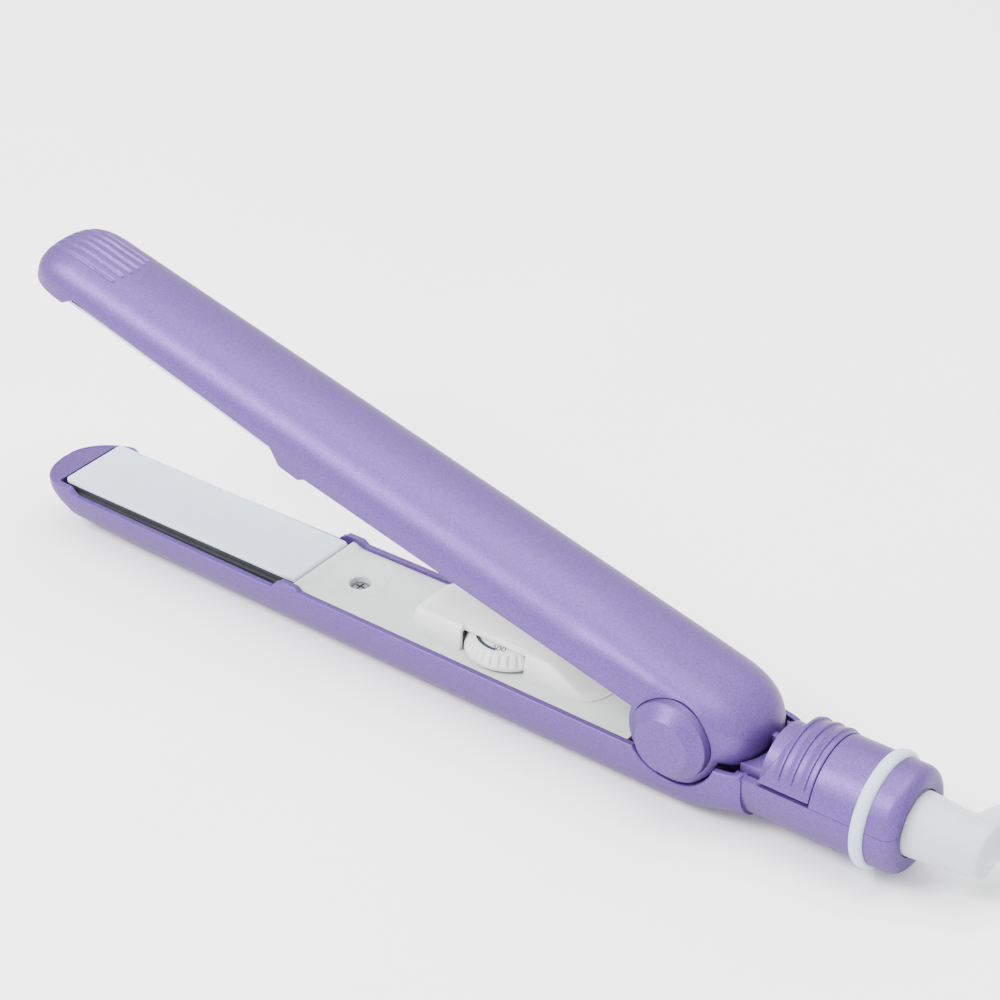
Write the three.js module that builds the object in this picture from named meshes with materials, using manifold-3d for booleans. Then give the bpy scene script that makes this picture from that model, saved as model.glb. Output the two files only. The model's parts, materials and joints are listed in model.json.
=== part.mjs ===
// A hair straightener: two long arms on one hinge, each with a coated plate, and a mains lead on a swivel.
//
// Millimetres, +Z up. The object lies on the belly of its lower arm, nose towards -X and lead towards +X.
// The arms are drawn in "arm" coordinates: X = 0 at the nose edge of the plates, Z = 0 on the face of the
// lower plate, and the arms closed. The last lines open the upper arm and move everything onto the floor.
import * as THREE from "three";
import { mergeVertices } from "three/addons/utils/BufferGeometryUtils.js";
import Module from "manifold-3d";

const wasm = await Module();
wasm.setup();

// ---------------------------------------------------------------- driving dimensions
const gap = 0.3; // between neighbours that touch on the real object
const wall = 2; // thickness of the casings
const openAngle = THREE.MathUtils.degToRad(16.3);

const noseTip = -10;
const upperNoseTip = -14.8;
const tailEnd = 287;
const floorZ = -17.8; // belly of the lower arm
const plate = { length: 90, width: 24, thickness: 1.2 };
const hinge = { x: 222.3, z: 6.9 };

const noseStart = 2; // the nose rounds off from here to noseTip
const noseHalfWidth = 15.1;
const hingeHalfWidth = 17.5;
const hingeStart = 212; // full width from here to hingeEnd
const hingeEnd = 226;
const heelEnd = 243; // rear of the upper casing, rounded as a superellipse
const heelPower = 2.45;
const lowerCentreZ = -2; // the lower casing is widest here and its belly is curved below it

const ear = { radius: 13.5, inner: 13.6, outer: 16.9 }; // disc of the upper casing round the hinge
const lug = { radius: 8.5, inner: 8.3, outer: 13.2 }; // disc of the lower casing inside each ear
const cap = { radius: 11.5, inner: 15.5, rim: 18.7, outer: 22.1, faceRadius: 9.2 };
const plainCap = { radius: 4.4, inner: 15.5, outer: 17.2 }; // on the far side
const pinRadius = 2.5;

const tail = { radius: 14.9, wall: 2.4, centreZ: -0.8, start: 240, seamZ: 1.8, holeRadius: 9.3 };
const ring = { start: 275.3, width: 3.8, innerRadius: 14.2, outerRadius: 16.4 };
const slider = { front: 247.4, rear: 262.6, innerRadius: 12.6, outerRadius: 15.2, bottomZ: 3.1 };

const deckZ = -2; // face of the white cover in the lower arm
const dial = { x: 157.7, radius: 12.6, topRadius: 10.6, bottomZ: -1.1, topZ: 3.3, ribs: 30 };
const ledge = { halfWidth: 11.3, topZ: 4, railTopZ: 7.9 }; // behind the upper arm's heel
const housing = { start: 127, end: 192.5, halfWidth: 9.4, topZ: 5.6, notchY: 6.9 };
const coverScrew = { x: 104.5, headRadius: 2.7, shankRadius: 1.3 };

const elbow = { stubRadius: 9, endRadius: 7.4, stubEnd: 307.5, legX: 301.5, legRadius: 6.6, legEnd: 14 };
const legAngle = THREE.MathUtils.degToRad(70); // between the stub and the leg of the elbow
const relief = { end: 38, radius: 5.4, endRadius: 3.9 };

const cord = { diameter: 5.8 };
const hank = { startX: 345, length: 131.5, y: 20, width: 52.4, height: 17.6, lift: 1.1 };
const tie = { x: 446, width: 6, thickness: 0.8 };
const plug = { rearX: 407, length: 32, halfWidth: 11.5, height: 13, bladeSpacing: 12.7, bladeLength: 17 };

// ---------------------------------------------------------------- colours
const paint = { color: 0x9e92c4, roughness: 0.38, metalness: 0.35 };
const whitePlastic = { color: 0xd6d7d4, roughness: 0.45, metalness: 0 };
const housingPlastic = { color: 0xe4e2e0, roughness: 0.4, metalness: 0 };
const plateCoat = { color: 0xd0d8e2, roughness: 0.3, metalness: 0.1 };
const darkPlastic = { color: 0x46484f, roughness: 0.6, metalness: 0 };
const softWhite = { color: 0xc4d0de, roughness: 0.6, metalness: 0 };
const leadWhite = { color: 0xd2d4d3, roughness: 0.55, metalness: 0 };
const steel = { color: 0xb8b8bc, roughness: 0.3, metalness: 1 };
const brass = { color: 0xc9a24b, roughness: 0.3, metalness: 1 };
const ceramic = { color: 0xe6e0d4, roughness: 0.8, metalness: 0 };
const boardGreen = { color: 0x2f6b45, roughness: 0.6, metalness: 0 };

// ---------------------------------------------------------------- solids
// Turns a closed geometry into a manifold solid, whichever way round its faces were wound.
function solid(source) {
  const bare = source.clone();
  bare.deleteAttribute("normal");
  bare.deleteAttribute("uv");
  const merged = mergeVertices(bare, 1e-4);
  const position = merged.attributes.position;
  const triVerts = Uint32Array.from(merged.index.array);
  const a = new THREE.Vector3();
  const b = new THREE.Vector3();
  const c = new THREE.Vector3();
  let volume = 0;
  for (let i = 0; i < triVerts.length; i += 3) {
    a.fromBufferAttribute(position, triVerts[i]);
    b.fromBufferAttribute(position, triVerts[i + 1]);
    c.fromBufferAttribute(position, triVerts[i + 2]);
    volume += a.dot(b.cross(c));
  }
  if (volume < 0) {
    for (let i = 0; i < triVerts.length; i += 3) {
      [triVerts[i], triVerts[i + 1]] = [triVerts[i + 1], triVerts[i]];
    }
  }
  const vertProperties = Float32Array.from(position.array);
  return new wasm.Manifold(new wasm.Mesh({ numProp: 3, vertProperties, triVerts }));
}

function join(...solids) {
  return solids.reduce((whole, next) => whole.add(next));
}

function cut(whole, ...tools) {
  return tools.reduce((rest, tool) => rest.subtract(tool), whole);
}

// A box given by its lowest and highest corner.
function box(low, high) {
  const size = high.map((value, i) => value - low[i]);
  const middle = high.map((value, i) => (value + low[i]) / 2);
  return solid(new THREE.BoxGeometry(...size).translate(...middle));
}

// A closed [distance along X, radius] profile turned about the X axis at height z.
function turnedX(profile, z = 0, segments = 32) {
  const points = profile.map(([along, radius]) => new THREE.Vector2(radius, along));
  const shape = new THREE.LatheGeometry(points, segments).rotateZ(-Math.PI / 2);
  return solid(shape.translate(0, 0, z));
}

// A [radius, height] profile that starts and ends on the axis, or closes, turned about Z at (x, y).
function turnedZ(profile, x, y, segments = 32) {
  const points = profile.map(([radius, height]) => new THREE.Vector2(radius, height));
  return solid(new THREE.LatheGeometry(points, segments).rotateX(Math.PI / 2).translate(x, y, 0));
}

// A disc or a rod between two Y values, turned about an axis along Y at (x, z).
function discY(radius, fromY, toY, x = hinge.x, z = hinge.z, segments = 36) {
  const rod = new THREE.CylinderGeometry(radius, radius, toY - fromY, segments);
  return solid(rod.translate(x, (fromY + toY) / 2, z));
}

function rodZ(radius, fromZ, toZ, x, y, segments = 20) {
  const rod = new THREE.CylinderGeometry(radius, radius, toZ - fromZ, segments).rotateX(Math.PI / 2);
  return solid(rod.translate(x, y, (fromZ + toZ) / 2));
}

// An XZ outline extruded along Y from -halfWidth to halfWidth.
function profileY(outline, halfWidth) {
  const flat = new THREE.ExtrudeGeometry(shapeOf(outline), { depth: 2 * halfWidth, bevelEnabled: false });
  return solid(flat.rotateX(Math.PI / 2).translate(0, halfWidth, 0));
}

// An XY outline extruded upwards.
function profileZ(outline, fromZ, toZ) {
  const flat = new THREE.ExtrudeGeometry(shapeOf(outline), { depth: toZ - fromZ, bevelEnabled: false });
  return solid(flat.translate(0, 0, fromZ));
}

function shapeOf(outline) {
  return outline instanceof THREE.Shape
    ? outline
    : new THREE.Shape(outline.map(([x, y]) => new THREE.Vector2(x, y)));
}

// Skins a row of rings, each a list of [x, y, z] with the same number of points, and closes both ends.
function loft(rings) {
  const perRing = rings[0].length;
  const points = rings.flat();
  const faces = [];
  for (let i = 0; i + 1 < rings.length; i += 1) {
    for (let j = 0; j < perRing; j += 1) {
      const a = i * perRing + j;
      const b = i * perRing + ((j + 1) % perRing);
      faces.push(a, b, a + perRing, b, b + perRing, a + perRing);
    }
  }
  for (const [first, reversed] of [[0, true], [(rings.length - 1) * perRing, false]]) {
    for (let j = 1; j + 1 < perRing; j += 1) {
      const fan = [first, first + j, first + j + 1];
      faces.push(...(reversed ? fan.reverse() : fan));
    }
  }
  const shape = new THREE.BufferGeometry();
  shape.setAttribute("position", new THREE.Float32BufferAttribute(points.flat(), 3));
  shape.setIndex(faces);
  return solid(shape);
}

// A round section swept along a smooth curve through the points.
function tube(points, radius, steps, sides) {
  const path = new THREE.CatmullRomCurve3(points.map((p) => new THREE.Vector3(...p)), false, "centripetal");
  const section = new THREE.Shape();
  for (let i = 0; i < sides; i += 1) {
    const angle = (2 * Math.PI * i) / sides;
    const point = [radius * Math.cos(angle), radius * Math.sin(angle)];
    if (i === 0) section.moveTo(...point);
    else section.lineTo(...point);
  }
  section.closePath();
  return solid(new THREE.ExtrudeGeometry(section, { steps, extrudePath: path, bevelEnabled: false }));
}

function mesh(name, shape, look) {
  const data = shape.getMesh();
  const geometry = new THREE.BufferGeometry();
  geometry.setAttribute("position", new THREE.Float32BufferAttribute(data.vertProperties, 3));
  geometry.setIndex(Array.from(data.triVerts));
  geometry.computeVertexNormals();
  const made = new THREE.Mesh(geometry, new THREE.MeshStandardMaterial(look));
  made.name = name;
  return made;
}

// ---------------------------------------------------------------- outline of the arms
// 0 at the tip of a nose and 1 where it has reached its full section.
function noseFullness(x, power, tip = noseTip, start = noseStart) {
  const along = Math.min(Math.max((start - x) / (start - tip), 0), 1);
  return (1 - along ** power) ** (1 / power);
}

function ramp(x, fromX, toX, from, to) {
  const share = Math.min(Math.max((x - fromX) / (toX - fromX), 0), 1);
  return from + share * (to - from);
}

function armHalfWidth(x) {
  return ramp(x, noseStart, hingeStart, noseHalfWidth, hingeHalfWidth);
}

// Half of a superellipse, from +Y to -Y: the side of a casing that bulges away from the plates.
function bulge(x, halfWidth, centreZ, depth, farPower, nearPower, flatZ, steps) {
  const points = [];
  for (let i = 0; i <= steps; i += 1) {
    const angle = (Math.PI * i) / steps;
    const power = i < steps / 2 ? farPower : nearPower;
    const across = Math.sign(Math.cos(angle)) * Math.abs(Math.cos(angle)) ** (2 / power);
    const down = Math.sin(angle) ** (2 / power);
    const z = centreZ + depth * down;
    const clamped = flatZ < centreZ ? Math.max(z, flatZ) : Math.min(z, flatZ);
    points.push([x, i === steps / 2 ? 0 : halfWidth * across, clamped]);
  }
  return points;
}

// Where a nose is sectioned, from its tip (0) to its full section (1).
const noseShares = [0.004, 0.035, 0.1, 0.22, 0.38, 0.62];
const armStations = [noseStart, 30, 75, 120, 165, 190, hingeStart];

function noseStation(share, tip) {
  return tip + share * (noseStart - tip);
}

// Lower casing: flat belly strip at floorZ, fuller towards the hinge. "skin" is the distance inside the face.
function lowerRing(x, skin, topZ, fullness = 1, depthFullness = fullness) {
  const halfWidth = (armHalfWidth(x) - skin) * fullness;
  const power = ramp(x, 0, hingeStart, 2.15, 2.9) - ramp(x, hingeEnd, 243, 0, 0.7);
  const deepest = lowerCentreZ - floorZ + 0.35;
  const depth = -(deepest - skin) * depthFullness;
  const flatZ = Math.max(lowerCentreZ + depth + 0.05, floorZ + skin);
  return [...bulge(x, halfWidth, lowerCentreZ, depth, power, power, flatZ, 14),
    [x, -halfWidth, topZ], [x, halfWidth, topZ]];
}

// Upper casing in its closed position: the roof rises from the nose to the hinge.
function upperRing(x, skin, bottomZ, fullness = 1, roofFullness = fullness) {
  const halfWidth = (armHalfWidth(x) - skin) * fullness;
  const centreZ = ramp(x, noseStart, hingeStart, 4.2, hinge.z);
  const roofZ = ramp(x, noseStart, hingeEnd, 14.7, 21.6) - skin;
  const power = ramp(x, 0, hingeStart, 2.2, 2.3);
  const shoulder = ramp(x, 186, hingeStart, 0, 1.7); // the near side is fuller, round the hinge cap
  const height = (roofZ - centreZ) * roofFullness;
  return [...bulge(x, halfWidth, centreZ, height, power, power + shoulder, 99, 14),
    [x, -halfWidth, bottomZ], [x, halfWidth, bottomZ]];
}

// ---------------------------------------------------------------- lower arm
// Everything above the rim of the lower casing, as an XZ outline.
const lowerRim = [
  [noseTip - 5, -0.8], [3.6, -0.8], [6.6, -2.95], [84.2, -2.95], [86.6, -0.5], [88.2, 0.5], [93.2, 0.5],
  [95.2, -0.8], [hinge.x, -0.8], [hinge.x, 2.4], [tail.start + 3, 2.4], [tail.start + 3, 40],
  [noseTip - 5, 40],
];

function lowerArmBody(skin, topZ) {
  const nose = noseShares.map((share) => {
    const x = noseStation(share, noseTip);
    return lowerRing(x, skin, topZ, noseFullness(x, 2.6), noseFullness(x, 1.8, noseTip, 6));
  });
  const arm = armStations.map((x) => lowerRing(x, skin, topZ, 1, noseFullness(x, 1.8, noseTip, 6)));
  const rear = [222, 228, 233, 237, 240.5, 243].map((x) => {
    const along = Math.max((x - hingeEnd) / (243 - hingeEnd), 0);
    const under = Math.min((x - 222) / 14, 1);
    return lowerRing(x, skin, topZ, 1 - 0.13 * along ** 4, 1 - 0.155 * under ** 2.2);
  });
  return loft([...nose, ...arm, ...rear]);
}

function lowerArmHollow() {
  const arm = [8, ...armStations.slice(1)].map((x) => lowerRing(x, wall, 4));
  const rear = [222, 230, 241].map((x) => lowerRing(x, wall, 4, 0.9, 0.86));
  return loft([lowerRing(-1.5, wall, 4, 1, 0.74), ...arm, ...rear]);
}

function tailBarrel(skin) {
  const radius = tail.radius - skin;
  const end = tailEnd - skin;
  const rounding = Math.max(3.4 - skin, 0.6);
  const profile = [[tail.start - 6 + skin, 0], [tail.start - 6 + skin, radius]];
  for (let i = 0; i <= 5; i += 1) {
    const angle = (Math.PI / 2) * (1 - i / 5);
    const along = end - rounding + rounding * Math.cos(angle);
    profile.push([along, radius - rounding + rounding * Math.sin(angle)]);
  }
  profile.push([end, 0]);
  return turnedX(profile, tail.centreZ);
}

// The tail barrel with its bore, the groove for the ring and the hole for the lead.
function tailTube() {
  const groove = turnedX([
    [ring.start - gap, ring.innerRadius - gap], [ring.start + ring.width + gap, ring.innerRadius - gap],
    [ring.start + ring.width + gap, 20], [ring.start - gap, 20], [ring.start - gap, ring.innerRadius - gap],
  ], tail.centreZ);
  const hole = turnedX([[280, 0], [280, tail.holeRadius], [295, tail.holeRadius], [295, 0]], tail.centreZ);
  return cut(tailBarrel(0), tailBarrel(tail.wall), groove, hole);
}

function bothSides(makeSide) {
  return join(makeSide(1), makeSide(-1));
}

function sideDisc(radius, from, to, side, x, z) {
  return side > 0 ? discY(radius, from, to, x, z) : discY(radius, -to, -from, x, z);
}

function lowerShell() {
  const above = profileY(lowerRim, 30);
  const arm = cut(lowerArmBody(0, 6), lowerArmHollow(), above);
  const tailLow = cut(tailTube(), box([tail.start - 10, -20, tail.seamZ], [tailEnd + 5, 20, 20]));
  // the barrel opens into the arm: the arm's rear wall is cut through inside the barrel's bore
  const passage = turnedX([[236, 0], [236, 11], [246, 11], [246, 0]], tail.centreZ);
  const front = box([tail.start - 10, -20, -20], [241.5, 20, 20]);
  const ledgeRoom = box([238, -ledge.halfWidth - 2, tail.seamZ], [246, ledge.halfWidth + 2, 6]);
  const earRoom = bothSides((side) => sideDisc(ear.radius + 0.4, ear.inner - gap, 25, side));
  const lugs = bothSides((side) => {
    const disc = sideDisc(lug.radius, lug.inner, lug.outer, side);
    const foot = box([hinge.x - 7, side > 0 ? lug.inner : -lug.outer, floorZ + 1],
      [hinge.x + 7, side > 0 ? lug.outer : -lug.inner, hinge.z - 3]);
    return join(disc, foot);
  });
  const bushingBore = discY(4.6, -20, 20);
  const screwRoom = rodZ(3.2, -30, -14.2, 258, 0);
  const screwHole = rodZ(1.8, -30, 0, 258, 0);
  const shell = cut(join(cut(arm, passage, ledgeRoom), cut(tailLow, front)), earRoom);
  return cut(join(shell, cut(lugs, belowBelly())), bushingBore, screwRoom, screwHole);
}

// What lies outside the casing around the lugs' feet.
function belowBelly() {
  const inside = loft([200, hingeStart, hingeEnd, 240].map((x) => lowerRing(x, 1, 20)));
  return cut(box([205, -25, -25], [238, 25, 18]), inside);
}

function tailCover() {
  const barrel = cut(tailTube(), box([tail.start - 10, -20, -20], [tailEnd + 5, 20, tail.seamZ + gap]));
  const sliderRoom = cut(
    box([tail.start - 10, -20, -20], [slider.rear + gap, 20, 20]),
    turnedX([[tail.start - 20, 0], [tail.start - 20, slider.innerRadius - gap],
      [slider.rear + 2, slider.innerRadius - gap], [slider.rear + 2, 0]], tail.centreZ),
  );
  const saddle = cut(
    turnedX([[244.4, 10.6], [244.4, slider.innerRadius - gap], [slider.rear + gap, slider.innerRadius - gap],
      [slider.rear + gap, 13.4], [slider.rear + 3, 13.4], [slider.rear + 3, 10.6], [244.4, 10.6]],
    tail.centreZ),
    box([240, -20, -20], [270, 20, tail.seamZ + gap]),
  );
  const boss = cut(rodZ(4, -8.4, 10.4, 258, 0), rodZ(1.2, -10, 3, 258, 0));
  const step = box([235, -ledge.halfWidth, tail.seamZ + gap], [249, ledge.halfWidth, ledge.topZ]);
  const rail = box([238, -1, ledge.topZ - 1], [249, 1, ledge.railTopZ]);
  return cut(join(cut(barrel, sliderRoom), saddle, boss, step, rail), heelRoom());
}

// The round space that the rear of the upper arm turns in.
function heelRoom() {
  const points = [new THREE.Vector2(0, -hingeHalfWidth)];
  for (let i = 1; i < 20; i += 1) {
    const y = hingeHalfWidth * (i / 10 - 1);
    const reach = (1 - Math.abs(y / hingeHalfWidth) ** heelPower) ** (1 / heelPower);
    points.push(new THREE.Vector2(reach * (heelEnd - hinge.x) + 2 * gap, y));
  }
  points.push(new THREE.Vector2(0, hingeHalfWidth));
  return solid(new THREE.LatheGeometry(points, 72).translate(hinge.x, 0, hinge.z));
}

function lockSlider() {
  const out = slider.outerRadius;
  const profile = [[slider.front, slider.innerRadius], [slider.front, out]];
  for (const x of [252.6, 256.4, 260.2]) {
    profile.push([x - 0.9, out], [x - 0.4, out + 0.5], [x + 0.4, out + 0.5], [x + 0.9, out]);
  }
  profile.push([slider.rear, out + 0.2], [slider.rear, slider.innerRadius]);
  profile.push([slider.front, slider.innerRadius]);
  const band = turnedX(profile, tail.centreZ, 48);
  const below = box([240, -20, -20], [270, 20, slider.bottomZ]);
  const slanted = profileY([[240, slider.bottomZ - 1], [slider.front, slider.bottomZ - 1],
    [slider.front + 0.4, slider.bottomZ], [slider.front + 3.4, 10], [slider.front + 6, 18], [240, 18]], 20);
  return cut(band, below, slanted);
}

function tailRing() {
  const middle = ring.start + ring.width / 2;
  const half = ring.width / 2;
  const profile = [[middle - half, ring.innerRadius], [middle - half, ring.outerRadius - 1]];
  for (let i = 1; i < 4; i += 1) {
    const angle = Math.PI * (1 - i / 4);
    profile.push([middle + half * Math.cos(angle), ring.outerRadius - 1 + Math.sin(angle)]);
  }
  profile.push([middle + half, ring.outerRadius - 1], [middle + half, ring.innerRadius]);
  profile.push(profile[0]);
  return turnedX(profile, tail.centreZ, 36);
}

// A white deck between the side walls of the casing, with a step up behind the plate.
function lowerInnerCover() {
  const inside = loft([75, 120, 165, 190, hingeStart].map((x) => lowerRing(x, wall + gap, 5)));
  const section = profileY([[90.4, -0.9], [91.4, -0.9], [94.6, deckZ], [207, deckZ], [207, deckZ - 1.6],
    [90.4, deckZ - 1.6]], 20);
  const boss = rodZ(4.4, -9, deckZ - 1, coverScrew.x, 0);
  const seat = rodZ(coverScrew.headRadius + 0.5, deckZ - 2.4, 5, coverScrew.x, 0);
  const hole = rodZ(coverScrew.shankRadius + gap, -12, 5, coverScrew.x, 0);
  const dialHole = rodZ(4, -8, 2, dial.x, 0);
  const lugRoom = box([hinge.x - lug.radius - 2, -20, -9], [230, 20, 5]);
  return cut(join(section.intersect(inside), boss), seat, hole, dialHole, lugRoom);
}

// Round-ended block over the dial, with sides that lean in and a roof over the middle of the wheel.
function housingRing(z, inset) {
  const halfWidth = housing.halfWidth - inset;
  const points = [];
  const radius = 8.6;
  const corners = [[housing.end - inset * 2.2, 1], [housing.start + inset * 2.2, -1]];
  for (const [endX, way] of corners) {
    for (let i = 0; i <= 10; i += 1) {
      const angle = -Math.PI / 2 + (Math.PI * i) / 10;
      const y = Math.sin(angle) * halfWidth;
      points.push([endX - way * (radius - radius * Math.cos(angle)), way * y, z]);
    }
  }
  return points;
}

function dialHousing() {
  const block = loft([housingRing(deckZ + gap, 0), housingRing(2, 0.5), housingRing(4.4, 1),
    housingRing(5.2, 1.5), housingRing(housing.topZ, 2.3)]);
  const notches = bothSides((side) => box(
    [dial.x - 10.3, side > 0 ? housing.notchY : -20, -5], [dial.x + 11.6, side > 0 ? 20 : -housing.notchY, 9],
  ));
  const wheelRoom = rodZ(dial.radius + 0.5, -5, dial.topZ + 0.5, dial.x, 0, 48);
  return cut(block, notches, wheelRoom);
}

function temperatureDial() {
  const wheel = turnedZ([[0, dial.bottomZ], [dial.radius, dial.bottomZ], [dial.radius, dial.bottomZ + 1.3],
    [dial.topRadius, dial.topZ], [0, dial.topZ]], dial.x, 0, 48);
  const hub = rodZ(3.2, -4.9, 0, dial.x, 0);
  const bore = rodZ(1.9, -8, 1.2, dial.x, 0);
  const flutes = [];
  for (let i = 0; i < dial.ribs; i += 1) {
    const angle = (2 * Math.PI * (i + 0.5)) / dial.ribs;
    const middle = dial.radius + 0.35;
    flutes.push(rodZ(0.8, dial.bottomZ + 0.7, 6, dial.x + middle * Math.cos(angle),
      middle * Math.sin(angle), 4));
  }
  return cut(join(wheel, hub), bore, ...flutes);
}

function dialPotentiometer() {
  return join(box([dial.x - 6, -6, -9.6], [dial.x + 6, 6, -5.3]), rodZ(1.5, -6, 0.8, dial.x, 0));
}

function circuitBoard() {
  return box([121, -10.5, -11.4], [203, 10.5, -9.9]);
}

// A plate with its rear edge rolled over, lying face up with its face at z = 0.
function hotPlate() {
  const outline = new THREE.Shape();
  const t = plate.thickness;
  outline.moveTo(0, -t);
  outline.lineTo(0, -0.4);
  outline.absarc(0.4, -0.4, 0.4, Math.PI, Math.PI / 2, true);
  outline.lineTo(plate.length - t, 0);
  outline.absarc(plate.length - t, -t, t, Math.PI / 2, 0, true);
  return profileY(outline, plate.width / 2);
}

function plateCarrier() {
  const raised = box([0.6, -plate.width / 2 + 0.4, -7], [plate.length - 1.6, plate.width / 2 - 0.4,
    -plate.thickness - gap]);
  const flange = box([-1, -12.4, -5.4], [plate.length - 1.2, 12.4, -3.4]);
  const pocket = box([11, -9, -5.2], [79, 9, 2]);
  return cut(join(raised, flange), pocket);
}

function heater() {
  return box([12, -8.4, -4.9], [78, 8.4, -plate.thickness - gap]);
}

function thermalFuse(z) {
  const body = new THREE.CylinderGeometry(1.8, 1.8, 11, 16).rotateZ(Math.PI / 2);
  return solid(body.translate(45, 0, z));
}

function coverScrewBody(headZ) {
  const head = coverScrew.headRadius;
  const screw = turnedZ([[0, headZ - 7.5], [coverScrew.shankRadius, headZ - 6.8],
    [coverScrew.shankRadius, headZ - 1.2], [head, headZ - 1.2], [head, headZ - 0.4],
    [head - 0.8, headZ], [0, headZ]], coverScrew.x, 0, 24);
  const slotA = box([coverScrew.x - 1.5, -0.32, headZ - 0.7], [coverScrew.x + 1.5, 0.32, headZ + 1]);
  const slotB = box([coverScrew.x - 0.32, -1.5, headZ - 0.7], [coverScrew.x + 0.32, 1.5, headZ + 1]);
  return cut(screw, slotA, slotB);
}

function tailScrew() {
  const shank = rodZ(1, -13.9, -1, 258, 0, 16);
  const head = cut(rodZ(2.8, -16, -14.5, 258, 0, 24), box([256.5, -0.35, -17], [259.5, 0.35, -15.3]),
    box([257.65, -1.5, -17], [258.35, 1.5, -15.3]));
  return join(shank, rodZ(1, -14.6, -13.8, 258, 0, 16), head);
}

// ---------------------------------------------------------------- hinge
function hingePin() {
  return discY(pinRadius, -15.1, 15.1, hinge.x, hinge.z, 32);
}

function hingeBushing(side) {
  const sleeve = sideDisc(4.3, lug.inner - 0.6, lug.outer - 0.2, side);
  return cut(sleeve, discY(pinRadius + gap, -20, 20));
}

// The near cap is a wide disc with a bevelled face, and the far one a small plain plug.
function nearCap() {
  return hingeCap([[0, cap.inner], [cap.radius, cap.inner], [cap.radius, cap.rim - 0.5],
    [cap.radius - 0.4, cap.rim], [cap.faceRadius, cap.outer], [0, cap.outer]], -1);
}

function farCap() {
  return hingeCap([[0, plainCap.inner], [plainCap.radius, plainCap.inner],
    [plainCap.radius, plainCap.outer - 0.5], [plainCap.radius - 0.6, plainCap.outer],
    [0, plainCap.outer]], 1);
}

function hingeCap(profile, side) {
  const points = profile.map(([radius, y]) => new THREE.Vector2(radius, side * y));
  return solid(new THREE.LatheGeometry(points, 40).translate(hinge.x, 0, hinge.z));
}

// Torsion spring round the hinge pin, with one leg forward in each arm.
function hingeSpring() {
  const coilRadius = 4;
  const turns = 4;
  const perTurn = 10;
  const points = [[hinge.x - 9, -6, hinge.z - coilRadius - 5]];
  for (let i = 0; i <= turns * perTurn; i += 1) {
    const angle = -Math.PI / 2 - (2 * Math.PI * i) / perTurn;
    points.push([hinge.x + coilRadius * Math.cos(angle), -5 + (10 * i) / (turns * perTurn),
      hinge.z + coilRadius * Math.sin(angle)]);
  }
  points.splice(1, 0, [hinge.x - 4, -5.4, hinge.z - coilRadius - 1.4]);
  points.push([hinge.x - 4, 5.2, hinge.z - coilRadius - 0.6], [hinge.x - 8.6, 5.4, hinge.z - coilRadius - 1]);
  return tube(points, 0.6, 50, 5);
}

// ---------------------------------------------------------------- upper arm, drawn closed
// Everything below the rim of the upper casing, as an XZ outline.
const upperRim = [
  [noseTip - 9, 1.5], [1.2, 1.5], [4.6, 5], [81.5, 5], [85.6, 1], [92.8, 1], [94.6, 2.7],
  [208.5, 8.2], [hinge.x, 8.2], [hinge.x, hinge.z + 0.3], [255, hinge.z + 0.3], [255, -40],
  [noseTip - 9, -40],
];

function heelFullness(x) {
  const along = Math.min(Math.max((x - hinge.x) / (heelEnd - hinge.x), 0), 1);
  return (1 - along ** heelPower) ** (1 / heelPower);
}

function upperNose(skin) {
  return noseShares.map((share) => {
    const x = noseStation(share, upperNoseTip);
    return upperRing(x, skin, -4, noseFullness(x, 3.1, upperNoseTip), noseFullness(x, 2.3, upperNoseTip));
  });
}

function upperArmBody() {
  const arm = armStations.map((x) => upperRing(x, 0, -4));
  const heel = [hinge.x, 227, 231, 234.8, 238, 240.5, 242.1, 242.9].map(
    (x) => upperRing(x, 0, -4, heelFullness(x)));
  return loft([...upperNose(0), ...arm, ...heel]);
}

function upperArmHollow() {
  const arm = [-1.5, ...armStations.slice(1), hinge.x].map((x) => upperRing(x, wall, -8));
  const heel = [228, 233, 237, 240].map((x) => upperRing(x, wall, -8, heelFullness(x + 1.6)));
  return loft([...arm, ...heel]);
}

function gripGrooves() {
  const grooves = [];
  for (let i = -2; i <= 3; i += 1) {
    const y = i * 3 - 1.5;
    const endX = 14.5 - Math.abs(i - 0.5) * 0.6;
    grooves.push(box([upperNoseTip - 3, y - 0.35, 8], [endX, y + 0.35, 20]));
  }
  const skin = loft([...upperNose(0.6).slice(1), upperRing(noseStart, 0.6, -4), upperRing(20, 0.6, -4)]);
  return cut(join(...grooves), skin);
}

function upperShell() {
  const below = profileY(upperRim, 30);
  const shell = cut(upperArmBody(), upperArmHollow(), below);
  const envelope = loft([200, hingeStart, hinge.x, 227, 231, 237].map((x) => upperRing(x, 0, -14)));
  const ears = bothSides((side) => sideDisc(ear.radius, ear.inner, ear.outer, side)).intersect(envelope);
  const capRoom = sideDisc(cap.radius + gap, cap.inner - gap, 25, -1);
  const plainCapRoom = sideDisc(plainCap.radius + gap, plainCap.inner - gap, 25, 1);
  const bore = discY(pinRadius + 0.4, -25, 25);
  return cut(join(shell, ears), capRoom, plainCapRoom, bore, gripGrooves(), lugClearance());
}

// The lugs of the lower casing turn inside the upper one.
function lugClearance() {
  return discY(lug.radius + 0.6, -lug.outer - gap, lug.outer + gap);
}

function upperInnerCover() {
  const inside = loft([75, 120, 165, 190, hingeStart].map((x) => upperRing(x, wall + gap, 0)));
  const section = profileY([[91.4, 2.4], [96, 2.4], [118, 7], [206, 9.6], [206, 11.2], [118, 8.6],
    [96, 4], [91.4, 4]], 20);
  const seat = rodZ(coverScrew.headRadius + 0.5, -4, 5.7, coverScrew.x, 0);
  const boss = rodZ(4.4, 4.4, 11, coverScrew.x, 0);
  const hole = rodZ(coverScrew.shankRadius + gap, -2, 14, coverScrew.x, 0);
  return cut(join(section.intersect(inside), boss), seat, hole);
}

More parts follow.
